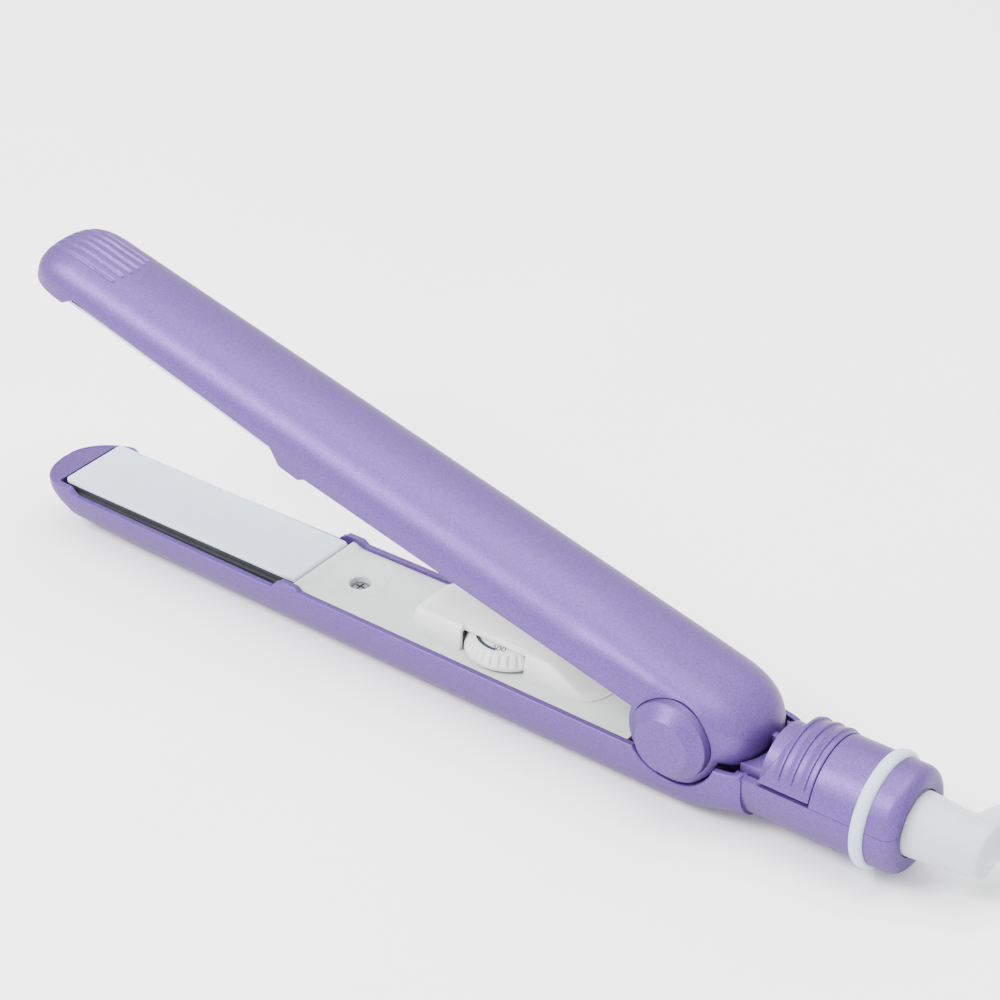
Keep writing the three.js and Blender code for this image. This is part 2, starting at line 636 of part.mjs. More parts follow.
// Turns a piece of the lower arm over onto the upper one.
function mirrored(shape) {
  return shape.mirror([0, 0, 1]).translate([0, 0, gap]);
}

// ---------------------------------------------------------------- swivel and lead
function swivelBearing() {
  return turnedX([[275.4, 5.2], [280, 5.2], [280, 12.1], [275.4, 12.1], [275.4, 5.2]], tail.centreZ);
}

function slipRing(x) {
  return turnedX([[x, 4.3], [x + 2.4, 4.3], [x + 2.4, 6.2], [x, 6.2], [x, 4.3]], tail.centreZ, 24);
}

function legFrame(shape) {
  return shape.rotateZ(legAngle).translate(elbow.legX, 0, tail.centreZ);
}

function swivelElbow() {
  const stub = turnedX([[266, 0], [266, 4], [280.4, 4], [280.4, 11.4], [284.2, 11.4],
    [284.2, elbow.stubRadius], [tailEnd, elbow.stubRadius], [elbow.stubEnd - 1.2, elbow.endRadius],
    [elbow.stubEnd, elbow.endRadius - 1.2], [elbow.stubEnd, 0]], tail.centreZ);
  const legLength = elbow.legEnd;
  const leg = new THREE.CylinderGeometry(elbow.legRadius - 0.3, elbow.legRadius, legLength, 24);
  const legSolid = solid(legFrame(leg.translate(0, legLength / 2, 0).rotateZ(-Math.PI / 2)));
  const wireBore = turnedX([[260, 0], [260, 2.4], [284, 2.4], [284, 0]], tail.centreZ, 12);
  return cut(join(stub, legSolid), wireBore);
}

function cordRelief() {
  const length = relief.end - elbow.legEnd - gap;
  const points = [new THREE.Vector2(0, 0)];
  const rings = 5;
  for (let i = 0; i < rings; i += 1) {
    const radius = ramp(i, 0, rings, relief.radius, relief.endRadius);
    const y = (length * i) / rings;
    const step = length / rings;
    points.push(new THREE.Vector2(radius, y), new THREE.Vector2(radius, y + step * 0.62));
    points.push(new THREE.Vector2(radius - 0.9, y + step * 0.68));
    points.push(new THREE.Vector2(radius - 0.9, y + step * 0.94));
  }
  points.push(new THREE.Vector2(relief.endRadius - 0.4, length), new THREE.Vector2(0, length));
  const shape = new THREE.LatheGeometry(points, 12).rotateZ(-Math.PI / 2);
  return solid(legFrame(shape.translate(elbow.legEnd + gap, 0, 0)));
}

// From the strain relief down to the floor and along the far side of the hank.
const leadRoute = [
  [315.3, 36.4, -0.8], [317.9, 43, -1.1], [321.6, 49, -2.3], [327, 53.8, -4.6], [333.6, 56.8, -7.6],
  [340.8, 58.1, -10.6], [348.2, 57.8, -13], [355.6, 56, -14.4], [362.6, 53.2, -14.5], [369.4, 50.9, -14.5],
  [378, 49.7, -14.5], [390, 49.4, -14.5], [402, 49.4, -14.4], [409, 49.4, -14.2],
];

function cordLead() {
  return tube(leadRoute, cord.diameter / 2, 30, 8);
}

function hankOutline() {
  const half = hank.width / 2;
  const shape = new THREE.Shape();
  shape.absarc(hank.startX + half, hank.y, half, Math.PI / 2, (3 * Math.PI) / 2, false);
  shape.absarc(hank.startX + hank.length - half, hank.y, half, -Math.PI / 2, Math.PI / 2, false);
  return shape;
}

const hankBottom = floorZ + hank.lift;
const hankTop = hankBottom + hank.height;

function cordHank() {
  return profileZ(hankOutline(), hankBottom, hankTop);
}

function cordTie() {
  const half = hank.width / 2 + gap;
  const outer = box([tie.x, hank.y - half - tie.thickness, hankBottom - gap - tie.thickness],
    [tie.x + tie.width, hank.y + half + tie.thickness, hankTop + gap + tie.thickness]);
  const inner = box([tie.x - 1, hank.y - half, hankBottom - gap], [tie.x + tie.width + 1, hank.y + half,
    hankTop + gap]);
  return cut(outer, inner);
}

const plugY = hank.y - 15;
const plugZ = hankTop + gap + plug.height / 2;

// The cord climbs off the top of the hank into the plug.
const endRoute = [
  [424.8, 4.08, 4.1], [419.1, 4.52, 5.83], [413.1, 4.86, 7.17], [plug.rearX + gap, plugY, plugZ],
];

function cordEnd() {
  return tube(endRoute, cord.diameter / 2, 8, 8);
}

function plugBody() {
  const rings = [];
  const stations = [[0, 0.38], [0.02, 0.42], [0.3, 0.46], [0.42, 0.86], [0.5, 0.97], [0.96, 1], [1, 0.9]];
  for (const [along, size] of stations) {
    const x = plug.rearX - along * plug.length;
    const halfWidth = plug.halfWidth * size;
    const halfHeight = Math.min((plug.height / 2) * Math.max(size, 0.66), plug.height / 2);
    rings.push(bulgeRing(x, halfWidth, halfHeight));
  }
  return loft(rings);
}

function bulgeRing(x, halfWidth, halfHeight) {
  const points = [];
  for (let i = 0; i < 24; i += 1) {
    const angle = (2 * Math.PI * i) / 24;
    const c = Math.cos(angle);
    const s = Math.sin(angle);
    points.push([x, plugY + halfWidth * Math.sign(c) * Math.abs(c) ** 0.6,
      plugZ + halfHeight * Math.sign(s) * Math.abs(s) ** 0.6]);
  }
  return points;
}

function plugBlade(side) {
  const front = plug.rearX - plug.length - gap;
  const y = plugY + side * plug.bladeSpacing / 2;
  const blade = box([front - plug.bladeLength, y - 0.75, plugZ - 3.2], [front, y + 0.75, plugZ + 3.2]);
  const hole = discY(1.5, y - 3, y + 3, front - plug.bladeLength + 3.4, plugZ, 20);
  return cut(blade, hole);
}

// ---------------------------------------------------------------- assembly
const lowerArm = new THREE.Group();
lowerArm.add(
  mesh("lower_shell", lowerShell(), paint),
  mesh("tail_cover", tailCover(), paint),
  mesh("lower_inner_cover", lowerInnerCover(), whitePlastic),
  mesh("dial_housing", dialHousing(), housingPlastic),
  mesh("temperature_dial", temperatureDial(), housingPlastic),
  mesh("dial_potentiometer", dialPotentiometer(), darkPlastic),
  mesh("circuit_board", circuitBoard(), boardGreen),
  mesh("lower_plate", hotPlate(), plateCoat),
  mesh("lower_plate_carrier", plateCarrier(), darkPlastic),
  mesh("lower_heater", heater(), ceramic),
  mesh("lower_thermal_fuse", thermalFuse(-9.2), ceramic),
  mesh("lower_cover_screw", coverScrewBody(deckZ - 1.1), steel),
  mesh("tail_screw", tailScrew(), steel),
  mesh("tail_ring", tailRing(), softWhite),
  mesh("lock_slider", lockSlider(), paint),
  mesh("hinge_pin", hingePin(), steel),
  mesh("hinge_bushing_near", hingeBushing(-1), whitePlastic),
  mesh("hinge_bushing_far", hingeBushing(1), whitePlastic),
  mesh("hinge_spring", hingeSpring(), steel),
  mesh("swivel_bearing", swivelBearing(), whitePlastic),
  mesh("slip_ring_live", slipRing(267.6), brass),
  mesh("slip_ring_neutral", slipRing(272.2), brass),
  mesh("swivel_elbow", swivelElbow(), leadWhite),
  mesh("cord_relief", cordRelief(), leadWhite),
  mesh("cord_lead", cordLead(), leadWhite),
  mesh("cord_hank", cordHank(), leadWhite),
  mesh("cord_end", cordEnd(), leadWhite),
  mesh("cord_tie", cordTie(), leadWhite),
  mesh("plug_body", plugBody(), leadWhite),
  mesh("plug_blade_near", plugBlade(-1), brass),
  mesh("plug_blade_far", plugBlade(1), brass),
);

const upperArm = new THREE.Group();
upperArm.add(
  mesh("upper_shell", upperShell(), paint),
  mesh("upper_inner_cover", upperInnerCover(), whitePlastic),
  mesh("upper_plate", mirrored(hotPlate()), plateCoat),
  mesh("upper_plate_carrier", mirrored(plateCarrier()), darkPlastic),
  mesh("upper_heater", mirrored(heater()), ceramic),
  mesh("upper_thermal_fuse", mirrored(thermalFuse(-9.2)), ceramic),
  mesh("upper_cover_screw", coverScrewBody(-4.2).mirror([0, 0, 1]), steel),
  mesh("hinge_cap_near", nearCap(), paint),
  mesh("hinge_cap_far", farCap(), paint),
);

// The upper arm turns about the hinge: its group sits on the hinge axis and its pieces are set back from it.
upperArm.children.forEach((piece) => piece.position.set(-hinge.x, 0, -hinge.z));
upperArm.position.set(hinge.x, 0, hinge.z);
upperArm.rotation.y = openAngle;

const straightener = new THREE.Group();
straightener.add(lowerArm, upperArm);
straightener.position.set(-(noseTip + tailEnd) / 2, (cap.outer - hingeHalfWidth) / 2, -floorZ);

export default straightener;
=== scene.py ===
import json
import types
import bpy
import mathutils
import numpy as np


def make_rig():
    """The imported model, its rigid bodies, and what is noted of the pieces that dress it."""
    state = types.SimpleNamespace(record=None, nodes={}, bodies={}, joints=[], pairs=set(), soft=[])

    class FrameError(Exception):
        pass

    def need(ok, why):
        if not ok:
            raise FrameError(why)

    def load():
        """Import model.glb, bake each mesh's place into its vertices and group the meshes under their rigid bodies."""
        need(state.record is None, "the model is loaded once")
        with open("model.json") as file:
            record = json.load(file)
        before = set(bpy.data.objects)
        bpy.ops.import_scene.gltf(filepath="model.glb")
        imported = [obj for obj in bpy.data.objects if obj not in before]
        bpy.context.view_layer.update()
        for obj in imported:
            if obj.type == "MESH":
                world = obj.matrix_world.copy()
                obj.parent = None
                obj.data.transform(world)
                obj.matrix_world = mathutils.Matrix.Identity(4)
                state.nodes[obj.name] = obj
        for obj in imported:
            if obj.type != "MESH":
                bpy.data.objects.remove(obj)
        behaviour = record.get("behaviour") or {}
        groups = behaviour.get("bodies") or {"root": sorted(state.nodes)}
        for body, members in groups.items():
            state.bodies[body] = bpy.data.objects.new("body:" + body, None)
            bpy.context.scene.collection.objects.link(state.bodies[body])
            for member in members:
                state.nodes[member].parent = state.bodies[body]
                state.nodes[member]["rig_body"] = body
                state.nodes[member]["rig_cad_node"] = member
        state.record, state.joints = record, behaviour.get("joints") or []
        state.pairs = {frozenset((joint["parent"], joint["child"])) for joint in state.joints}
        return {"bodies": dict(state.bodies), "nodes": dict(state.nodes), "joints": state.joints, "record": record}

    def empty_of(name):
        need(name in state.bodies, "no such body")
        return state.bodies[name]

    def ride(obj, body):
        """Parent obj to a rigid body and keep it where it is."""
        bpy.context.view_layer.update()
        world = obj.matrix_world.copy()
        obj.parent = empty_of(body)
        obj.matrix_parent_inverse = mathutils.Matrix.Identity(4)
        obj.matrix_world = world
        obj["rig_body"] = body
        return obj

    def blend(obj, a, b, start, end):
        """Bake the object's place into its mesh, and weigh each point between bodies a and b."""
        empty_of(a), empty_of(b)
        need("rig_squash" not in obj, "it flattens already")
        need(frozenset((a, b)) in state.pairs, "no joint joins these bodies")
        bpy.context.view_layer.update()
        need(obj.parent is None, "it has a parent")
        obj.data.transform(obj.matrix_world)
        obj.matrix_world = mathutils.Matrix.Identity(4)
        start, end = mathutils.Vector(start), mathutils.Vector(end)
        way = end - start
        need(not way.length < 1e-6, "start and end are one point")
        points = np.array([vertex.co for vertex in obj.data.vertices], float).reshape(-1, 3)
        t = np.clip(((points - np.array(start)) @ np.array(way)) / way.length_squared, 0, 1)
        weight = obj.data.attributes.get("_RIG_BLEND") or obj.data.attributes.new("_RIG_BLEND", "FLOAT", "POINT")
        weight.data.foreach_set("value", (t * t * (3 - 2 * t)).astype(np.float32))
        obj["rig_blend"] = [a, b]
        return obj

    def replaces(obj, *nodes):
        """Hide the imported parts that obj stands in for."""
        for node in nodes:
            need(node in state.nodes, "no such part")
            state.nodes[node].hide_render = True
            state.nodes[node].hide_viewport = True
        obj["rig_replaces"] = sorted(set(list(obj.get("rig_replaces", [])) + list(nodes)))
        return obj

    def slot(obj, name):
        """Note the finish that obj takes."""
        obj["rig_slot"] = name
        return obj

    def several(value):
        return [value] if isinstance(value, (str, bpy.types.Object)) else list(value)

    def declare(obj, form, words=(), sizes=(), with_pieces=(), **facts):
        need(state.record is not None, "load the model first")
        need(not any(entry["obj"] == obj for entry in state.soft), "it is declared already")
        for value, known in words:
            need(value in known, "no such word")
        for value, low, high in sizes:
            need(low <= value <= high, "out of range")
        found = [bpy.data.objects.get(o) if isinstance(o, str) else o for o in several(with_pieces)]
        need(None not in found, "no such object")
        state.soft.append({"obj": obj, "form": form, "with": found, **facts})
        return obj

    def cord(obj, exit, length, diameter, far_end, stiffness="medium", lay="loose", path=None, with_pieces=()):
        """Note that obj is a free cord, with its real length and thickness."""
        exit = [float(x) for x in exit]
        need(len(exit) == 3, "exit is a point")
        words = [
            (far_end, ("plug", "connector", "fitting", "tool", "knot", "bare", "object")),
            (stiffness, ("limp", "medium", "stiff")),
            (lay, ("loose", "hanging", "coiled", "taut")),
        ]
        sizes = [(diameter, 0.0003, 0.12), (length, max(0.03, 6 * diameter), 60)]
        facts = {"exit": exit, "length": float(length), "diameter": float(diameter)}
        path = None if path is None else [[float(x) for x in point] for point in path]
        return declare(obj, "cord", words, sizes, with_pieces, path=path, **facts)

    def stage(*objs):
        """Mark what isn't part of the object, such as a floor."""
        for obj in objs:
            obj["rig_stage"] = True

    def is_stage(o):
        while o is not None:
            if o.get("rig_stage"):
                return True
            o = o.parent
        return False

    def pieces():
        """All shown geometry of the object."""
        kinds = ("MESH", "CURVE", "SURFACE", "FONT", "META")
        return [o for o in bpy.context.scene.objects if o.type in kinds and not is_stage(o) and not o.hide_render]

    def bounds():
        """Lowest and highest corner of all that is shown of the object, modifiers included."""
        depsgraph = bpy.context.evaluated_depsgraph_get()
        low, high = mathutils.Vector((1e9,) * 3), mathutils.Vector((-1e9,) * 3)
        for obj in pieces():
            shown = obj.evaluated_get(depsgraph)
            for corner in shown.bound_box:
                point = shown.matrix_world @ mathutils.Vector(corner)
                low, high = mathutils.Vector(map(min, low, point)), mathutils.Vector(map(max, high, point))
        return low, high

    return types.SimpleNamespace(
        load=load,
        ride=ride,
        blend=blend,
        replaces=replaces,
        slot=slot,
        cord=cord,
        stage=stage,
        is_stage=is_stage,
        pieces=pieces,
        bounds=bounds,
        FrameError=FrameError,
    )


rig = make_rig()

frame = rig.load()
cad_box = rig.bounds()

import json
from math import asin, copysign, cos, pi, radians, sin, sqrt

import bmesh
import bpy
from mathutils import Matrix, Vector

# A hair straightener: the looks of its pieces, its lead, the studio and the camera.
#
# The pieces are drawn in "arm" coordinates, in millimetres, as in the CAD: X = 0 at the nose edge of the
# plates, Z = 0 on the face of the lower plate, and the arms closed. TO_ROW takes them to the row frame.

# ---------------------------------------------------------------- sizes, in millimetres
OPEN_ANGLE = radians(16.3)
HINGE_X = 222.3
HINGE_Z = 6.9
NOSE_TIP = -10
UPPER_NOSE_TIP = -14.8
NOSE_START = 2
NOSE_HALF_WIDTH = 15.1
HINGE_HALF_WIDTH = 17.5
HINGE_START = 212
HINGE_END = 226
CASING_END = 243
HEEL_END = 243
HEEL_POWER = 2.45
ROOF_AT_NOSE = 14.55
ROOF_AT_HINGE = 21.6
HOLLOW_START = -1.5
HOLLOW_END = CASING_END - 1.5
UPPER_HOLLOW_END = 239
CENTRE_Z = -2
FLOOR_Z = -17.8
WALL = 2
LIP = 0.6
SEAM = 0.06  # half of a fine joint line
PLATE_LENGTH = 90
PLATE_HALF_WIDTH = 12
PLATE_THICKNESS = 1.2
EAR_RADIUS = 13.5
CAP_RADIUS = 11.5
TAIL_RADIUS = 14.9
TAIL_Z = -0.8
TAIL_END = 287
TAIL_ROUNDING = 3.4
TAIL_INSIDE = 12.5
TAIL_SCREW_X = 258
SEAM_Z = 1.8
LEDGE_HALF_WIDTH = 11.3
LEDGE_Z = 4
RAIL_TOP = 7.9
RING_START = 275.3
RING_WIDTH = 3.8
RING_SEAT = 13.9
SLIDER_FRONT = 247.4
SLIDER_REAR = 262.6
SLIDER_RADIUS = 15.2
SLIDER_INSIDE = 12.6
SLIDER_RIBS = (253.2, 257, 260.8)
RIB_HEIGHT = 0.55
DECK_Z = -2
DIAL_X = 157.7
DIAL_TOP = 3.3
DIAL_RIBS = 30
HOUSING_START = 127
HOUSING_END = 192.5
HOUSING_HALF_WIDTH = 9.4
HOUSING_HEIGHT = 7.55
SCREW_X = 104.5
STUB_RADIUS = 7.4
STUB_END = 307.5
STUB_ROUNDING = 1.3
LEG_X = 301.5
LEG_ANGLE = radians(70)
LEG_END = 14
RELIEF_END = 38
CORD_DIAMETER = 5.8
HANK_Y = 20
HANK_START = 345
HANK_END = 476.5
OUTER_TURN = 23.3
INNER_TURN = 17.5
HANK_Z = (-13.8, -7.95, -2.1)
HANK_TOP = 0.9
PLUG_X = 407
PLUG_Y = HANK_Y - 15
PLUG_HALF_WIDTH = 11.5
PLUG_HALF_HEIGHT = 6.5
PLUG_LENGTH = 32
PLUG_Z = HANK_TOP + 0.3 + PLUG_HALF_HEIGHT
BLADE_Y = 6.35
TIE_X = 446
TIE_WIDTH = 6
TIE_CORNER = 2.6

TO_ROW = Matrix.Scale(0.001, 4) @ Matrix.Translation((-138.5, 2.3, 17.8))
OPENED = (
    Matrix.Translation((HINGE_X, 0, HINGE_Z))
    @ Matrix.Rotation(OPEN_ANGLE, 4, "Y")
    @ Matrix.Translation((-HINGE_X, 0, -HINGE_Z))
)


# ---------------------------------------------------------------- small helpers
def clamp(value, low=0.0, high=1.0):
    return min(max(value, low), high)


def mix(a, b, share):
    return a + (b - a) * share


def ramp(x, start, end, low, high):
    return mix(low, high, clamp((x - start) / (end - start)))


def smooth(share):
    t = clamp(share)
    return t * t * (3 - 2 * t)


def spread(start, end, count):
    return [mix(start, end, i / count) for i in range(count + 1)]


def along_profile(profile, x, ease=smooth):
    """Height at x of a line through (x, z) points. ease rounds its corners."""
    for (x0, z0), (x1, z1) in zip(profile, profile[1:]):
        if x <= x1:
            return mix(z0, z1, ease((x - x0) / (x1 - x0)))
    return profile[-1][1]


def straight(share):
    return share


def fullness(share, power):
    """1 at share 0 and 0 at share 1, along a superellipse."""
    return (1 - share**power) ** (1 / power)


# ---------------------------------------------------------------- mesh building
def loft(rings, closed=True, capped=True):
    """Points and faces of a skin over rings of the same number of points."""
    count = len(rings[0])
    points = [p for ring in rings for p in ring]
    faces = []
    for i in range(len(rings) - 1):
        for j in range(count if closed else count - 1):
            a, b = i * count + j, i * count + (j + 1) % count
            faces.append((a, b, b + count, a + count))
    if capped:
        faces.append(tuple(reversed(range(count))))
        faces.append(tuple(range(len(points) - count, len(points))))
    return points, faces


def hoop(rings):
    """A skin over rings that closes on the first one again."""
    count = len(rings[0])
    points, faces = loft(rings, capped=False)
    last = len(points) - count
    return points, faces + [(last + j, last + (j + 1) % count, (j + 1) % count, j) for j in range(count)]


def circle(count):
    """Cosine and sine of even steps round a circle."""
    angles = [2 * pi * i / count for i in range(count)]
    return [(cos(a), sin(a)) for a in angles]


def turned(profile, segments, point):
    """A closed profile turned full circle. point gives (x, y, z) for a profile pair and a direction."""
    return hoop([[point(*pair, c, s) for pair in profile] for c, s in circle(segments)])


def rectangle(inner, outer, low, high):
    """A straight wall as a closed profile."""
    return [(inner, low), (outer, low), (outer, high), (inner, high)]


def round_end(x, radius, rounding, steps):
    """(x, radius) points of a rounded outer edge that ends at x."""
    return [(x - rounding + rounding * sin(a), radius - rounding + rounding * cos(a))
            for a in spread(0, pi / 2, steps)]


def lathe_y(profile, x=HINGE_X, z=HINGE_Z, segments=96):
    """A closed (radius, y) profile turned about an axis along Y."""
    return turned(profile, segments, lambda r, y, c, s: (x + r * c, y, z + r * s))


def lathe_z(profile, x, y, segments=96):
    """A closed (radius, z) profile turned about an axis along Z."""
    return turned(profile, segments, lambda r, z, c, s: (x + r * c, y + r * s, z))


def lathe_x(profile, z=TAIL_Z, segments=96):
    """A closed (x, radius) profile turned about an axis along X."""
    return turned(profile, segments, lambda x, r, c, s: (x, r * c, z + r * s))


def block(low, high):
    (x0, y0, z0), (x1, y1, z1) = low, high
    rings = [[(x, y0, z0), (x, y1, z0), (x, y1, z1), (x, y0, z1)] for x in (x0, x1)]
    return loft(rings)


def rounded_top(half, top, edge, steps, crown=0.0):
    """(y, z) points over a top from +Y to -Y, with corners of radius edge. crown swells it a little."""
    quarter = spread(0, pi / 2, steps)
    made = []
    for side, angles in ((1, quarter), (-1, reversed(quarter))):
        for a in angles:
            y = half - edge + edge * cos(a)
            made.append((side * y, top - edge + (edge + crown) * sin(a)))
    return made


def both(*shapes):
    """Several shapes as one."""
    points, faces = [], []
    for more_points, more_faces in shapes:
        start = len(points)
        points += more_points
        faces += [tuple(start + i for i in face) for face in more_faces]
    return points, faces


def put(name, data):
    """A new object in the scene."""
    obj = bpy.data.objects.new(name, data)
    bpy.context.scene.collection.objects.link(obj)
    return obj


def solid(name, shape):
    """An object in arm millimetres, welded, with its faces pointing out."""
    mesh = bpy.data.meshes.new(name)
    mesh.from_pydata([tuple(p) for p in shape[0]], [], shape[1])
    work = bmesh.new()
    work.from_mesh(mesh)
    bmesh.ops.remove_doubles(work, verts=work.verts, dist=1e-4)
    bmesh.ops.dissolve_degenerate(work, edges=work.edges, dist=1e-5)
    bmesh.ops.recalc_face_normals(work, faces=work.faces)
    if work.calc_volume(signed=True) < 0:
        bmesh.ops.reverse_faces(work, faces=work.faces)
    work.to_mesh(mesh)
    work.free()
    return put(name, mesh)


def modify(obj, kind, **settings):
    """Adds a modifier and applies it."""
    step = obj.modifiers.new("step", kind)
    for key, value in settings.items():
        setattr(step, key, value)
    graph = bpy.context.evaluated_depsgraph_get()
    mesh = bpy.data.meshes.new_from_object(obj.evaluated_get(graph))
    old = obj.data
    obj.modifiers.clear()
    obj.data = mesh
    bpy.data.meshes.remove(old)
    return obj


def combine(obj, operation, *shapes):
    """Joins, cuts or intersects the object with each shape in turn."""
    for shape in shapes:
        tool = shape if isinstance(shape, bpy.types.Object) else solid("tool", shape)
        modify(obj, "BOOLEAN", operation=operation, solver="MANIFOLD", object=tool)
        bpy.data.objects.remove(tool)
    return obj


def rounded(obj, width, segments=3, angle=35):
    """Rounds the sharp edges by width millimetres."""
    return modify(obj, "BEVEL", width=width, segments=segments, limit_method="ANGLE",
                  angle_limit=radians(angle), use_clamp_overlap=True)


def place(obj, name, look, slot, body, nodes, opened=False, sharp=32):
    """Finishes a piece: to the row frame, smooth but for its sharp edges, on its body, in its material."""
    obj.name = name
    obj.data.name = name
    obj.data.transform(TO_ROW @ OPENED if opened else TO_ROW)
    obj.data.shade_smooth()
    obj.data.set_sharp_from_angle(angle=radians(sharp))
    obj.data.materials.clear()
    obj.data.materials.append(look)
    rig.ride(obj, body)
    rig.slot(obj, slot)
    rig.replaces(obj, *nodes)
    return obj


# ---------------------------------------------------------------- camera
def make_camera():
    data = bpy.data.cameras.new("camera")
    data.sensor_width = 36
    data.lens = 103.1
    camera = put("camera", data)
    camera.location = (0.4030, -0.5139, 0.4776)
    camera.rotation_euler = (radians(57.29), 0, radians(36.87))
    bpy.context.scene.camera = camera


# ---------------------------------------------------------------- materials
class Look:
    """A procedural material: a Principled shader and the nodes that feed it."""

    def __init__(self, name):
        self.material = bpy.data.materials.new(name)
        self.material.use_nodes = True
        self.tree = self.material.node_tree
        self.shader = self.tree.nodes["Principled BSDF"]
        self.place = self.node("ShaderNodeTexCoord").outputs["Object"]

    def node(self, kind, **settings):
        made = self.tree.nodes.new(kind)
        for key, value in settings.items():
            setattr(made, key, value)
        return made

    def link(self, source, target):
        self.tree.links.new(source, target)

    def set(self, **values):
        for key, value in values.items():
            self.shader.inputs[key.replace("_", " ")].default_value = value

    def noise(self, scale, detail=2.0, stretch=(1, 1, 1)):
        mapping = self.node("ShaderNodeMapping")
        mapping.inputs["Scale"].default_value = stretch
        self.link(self.place, mapping.inputs["Vector"])
        noise = self.node("ShaderNodeTexNoise")
        noise.inputs["Scale"].default_value = scale
        noise.inputs["Detail"].default_value = detail
        self.link(mapping.outputs["Vector"], noise.inputs["Vector"])
        return noise.outputs["Fac"]

    def cells(self, scale):
        cells = self.node("ShaderNodeTexVoronoi")
        cells.inputs["Scale"].default_value = scale
        self.link(self.place, cells.inputs["Vector"])
        return cells.outputs["Color"]

    def ramp(self, source, stops):
        ramp = self.node("ShaderNodeValToRGB")
        while len(ramp.color_ramp.elements) < len(stops):
            ramp.color_ramp.elements.new(0.5)
        for element, (position, colour) in zip(ramp.color_ramp.elements, stops):
            element.position = position
            element.color = (*colour, 1)
        self.link(source, ramp.inputs["Fac"])
        return ramp.outputs["Color"]

    def multiply(self, first, second):
        node = self.node("ShaderNodeMix", data_type="RGBA", blend_type="MULTIPLY")
        node.inputs["Factor"].default_value = 1.0
        self.link(first, node.inputs[6])
        self.link(second, node.inputs[7])
        return node.outputs[2]

    def bump(self, source, strength, distance, onto=None):
        node = self.node("ShaderNodeBump")
        node.inputs["Strength"].default_value = strength
        node.inputs["Distance"].default_value = distance
        self.link(source, node.inputs["Height"])
        if onto is not None:
            self.link(onto, node.inputs["Normal"])
        return node.outputs["Normal"]

    def finish(self, colour=None, roughness=None, normal=None):
        for name, socket in (("Base Color", colour), ("Roughness", roughness), ("Normal", normal)):
            if socket is not None:
                self.link(socket, self.shader.inputs[name])
        return self.material


def srgb(red, green, blue):
    """0 to 255 screen colour as linear light."""
    shares = (red / 255, green / 255, blue / 255)
    return tuple(c / 12.92 if c <= 0.04 else ((c + 0.055) / 1.055) ** 2.4 for c in shares)


def pearl_paint():
    """Satin lavender paint with painted shade and sheen: the base colour darkens towards the outline by the viewing
    angle and turns greyer at the very edge, with fine flecks and a faint orange peel.
    """
    look = Look("pearl_paint")
    # Painted shade and sheen: a Layer Weight ramp on the base colour, darker towards the outline and greyer at the
    # very edge.
    facing = look.node("ShaderNodeLayerWeight")
    facing.inputs["Blend"].default_value = 0.35
    painted_shade_and_sheen = look.ramp(facing.outputs["Facing"], [
        (0.0, srgb(99, 76, 139)), (0.4, srgb(90, 68, 126)), (0.8, srgb(74, 55, 102)),
        (1.0, srgb(99, 89, 121)),
    ])
    flecks = look.ramp(look.cells(3600), [(0.25, srgb(222, 216, 240)), (0.75, srgb(255, 250, 255))])
    colour = look.multiply(painted_shade_and_sheen, flecks)
    roughness = look.ramp(look.noise(2400), [(0.35, (0.4,) * 3), (0.65, (0.5,) * 3)])
    grain = look.bump(look.cells(3600), 0.10, 0.00005)
    peel = look.bump(look.noise(420, 3), 0.06, 0.0002, grain)
    look.set(Metallic=0.4, Specular_IOR_Level=0.2, Coat_Weight=0.04, Coat_Roughness=0.3)
    return look.finish(colour, roughness, peel)


def grained(name, light, dark, cloud, rough_noise, rough, grain, bump, stops=(0.3, 0.7), **settings):
    """A cloudy colour, an uneven roughness and a fine grain. cloud, rough_noise and grain say how
    the noise of each is scaled, detailed and stretched, and stops are the colour ramp's two ends."""
    look = Look(name)
    colour = look.ramp(look.noise(*cloud), [(stops[0], srgb(*dark)), (stops[1], srgb(*light))])
    roughness = look.ramp(look.noise(*rough_noise), [(0.3, (rough[0],) * 3), (0.7, (rough[1],) * 3)])
    normal = look.bump(look.noise(*grain), *bump)
    look.set(**settings)
    return look.finish(colour, roughness, normal)


def plain_plastic(name, light, dark, rough=(0.4, 0.5), grain=1500, depth=0.05):
    """Moulded plastic with a fine grain and a faint cloudiness."""
    return grained(name, light, dark, (90, 4), (grain,), rough, (grain, 3), (depth, 0.0001),
                   Specular_IOR_Level=0.4)


def soft_vinyl(name, light, dark):
    return grained(name, light, dark, (120, 5), (800, 3), (0.45, 0.6), (1100, 4), (0.05, 0.0001),
                   Subsurface_Weight=0.12, Subsurface_Scale=0.002, Specular_IOR_Level=0.35)


def plate_coating():
    """Smooth coating, brushed along the plate."""
    return grained("plate_coating", (196, 208, 220), (188, 201, 214), (45, 3, (0.4, 1, 1)),
                   (900, 2, (0.1, 1, 1)), (0.2, 0.3), (1300, 2, (0.08, 1, 1)), (0.03, 0.0001),
                   stops=(0.25, 0.75), Coat_Weight=0.3, Coat_Roughness=0.12)


def metal(name, light, dark, rough):
    """Drawn metal, with its grain along Y."""
    return grained(name, light, dark, (600, 4), (2200, 2, (1, 0.1, 1)), (rough, rough + 0.14),
                   (2600, 2, (1, 0.1, 1)), (0.06, 0.00008), Metallic=1.0)


def studio_floor():
    look = Look("studio_floor")
    colour = look.ramp(look.noise(6, 3), [(0.3, srgb(250, 250, 250)), (0.7, srgb(255, 255, 255))])
    normal = look.bump(look.noise(300, 3), 0.02, 0.0005)
    look.set(Roughness=0.9, Specular_IOR_Level=0.1)
    return look.finish(colour, None, normal)


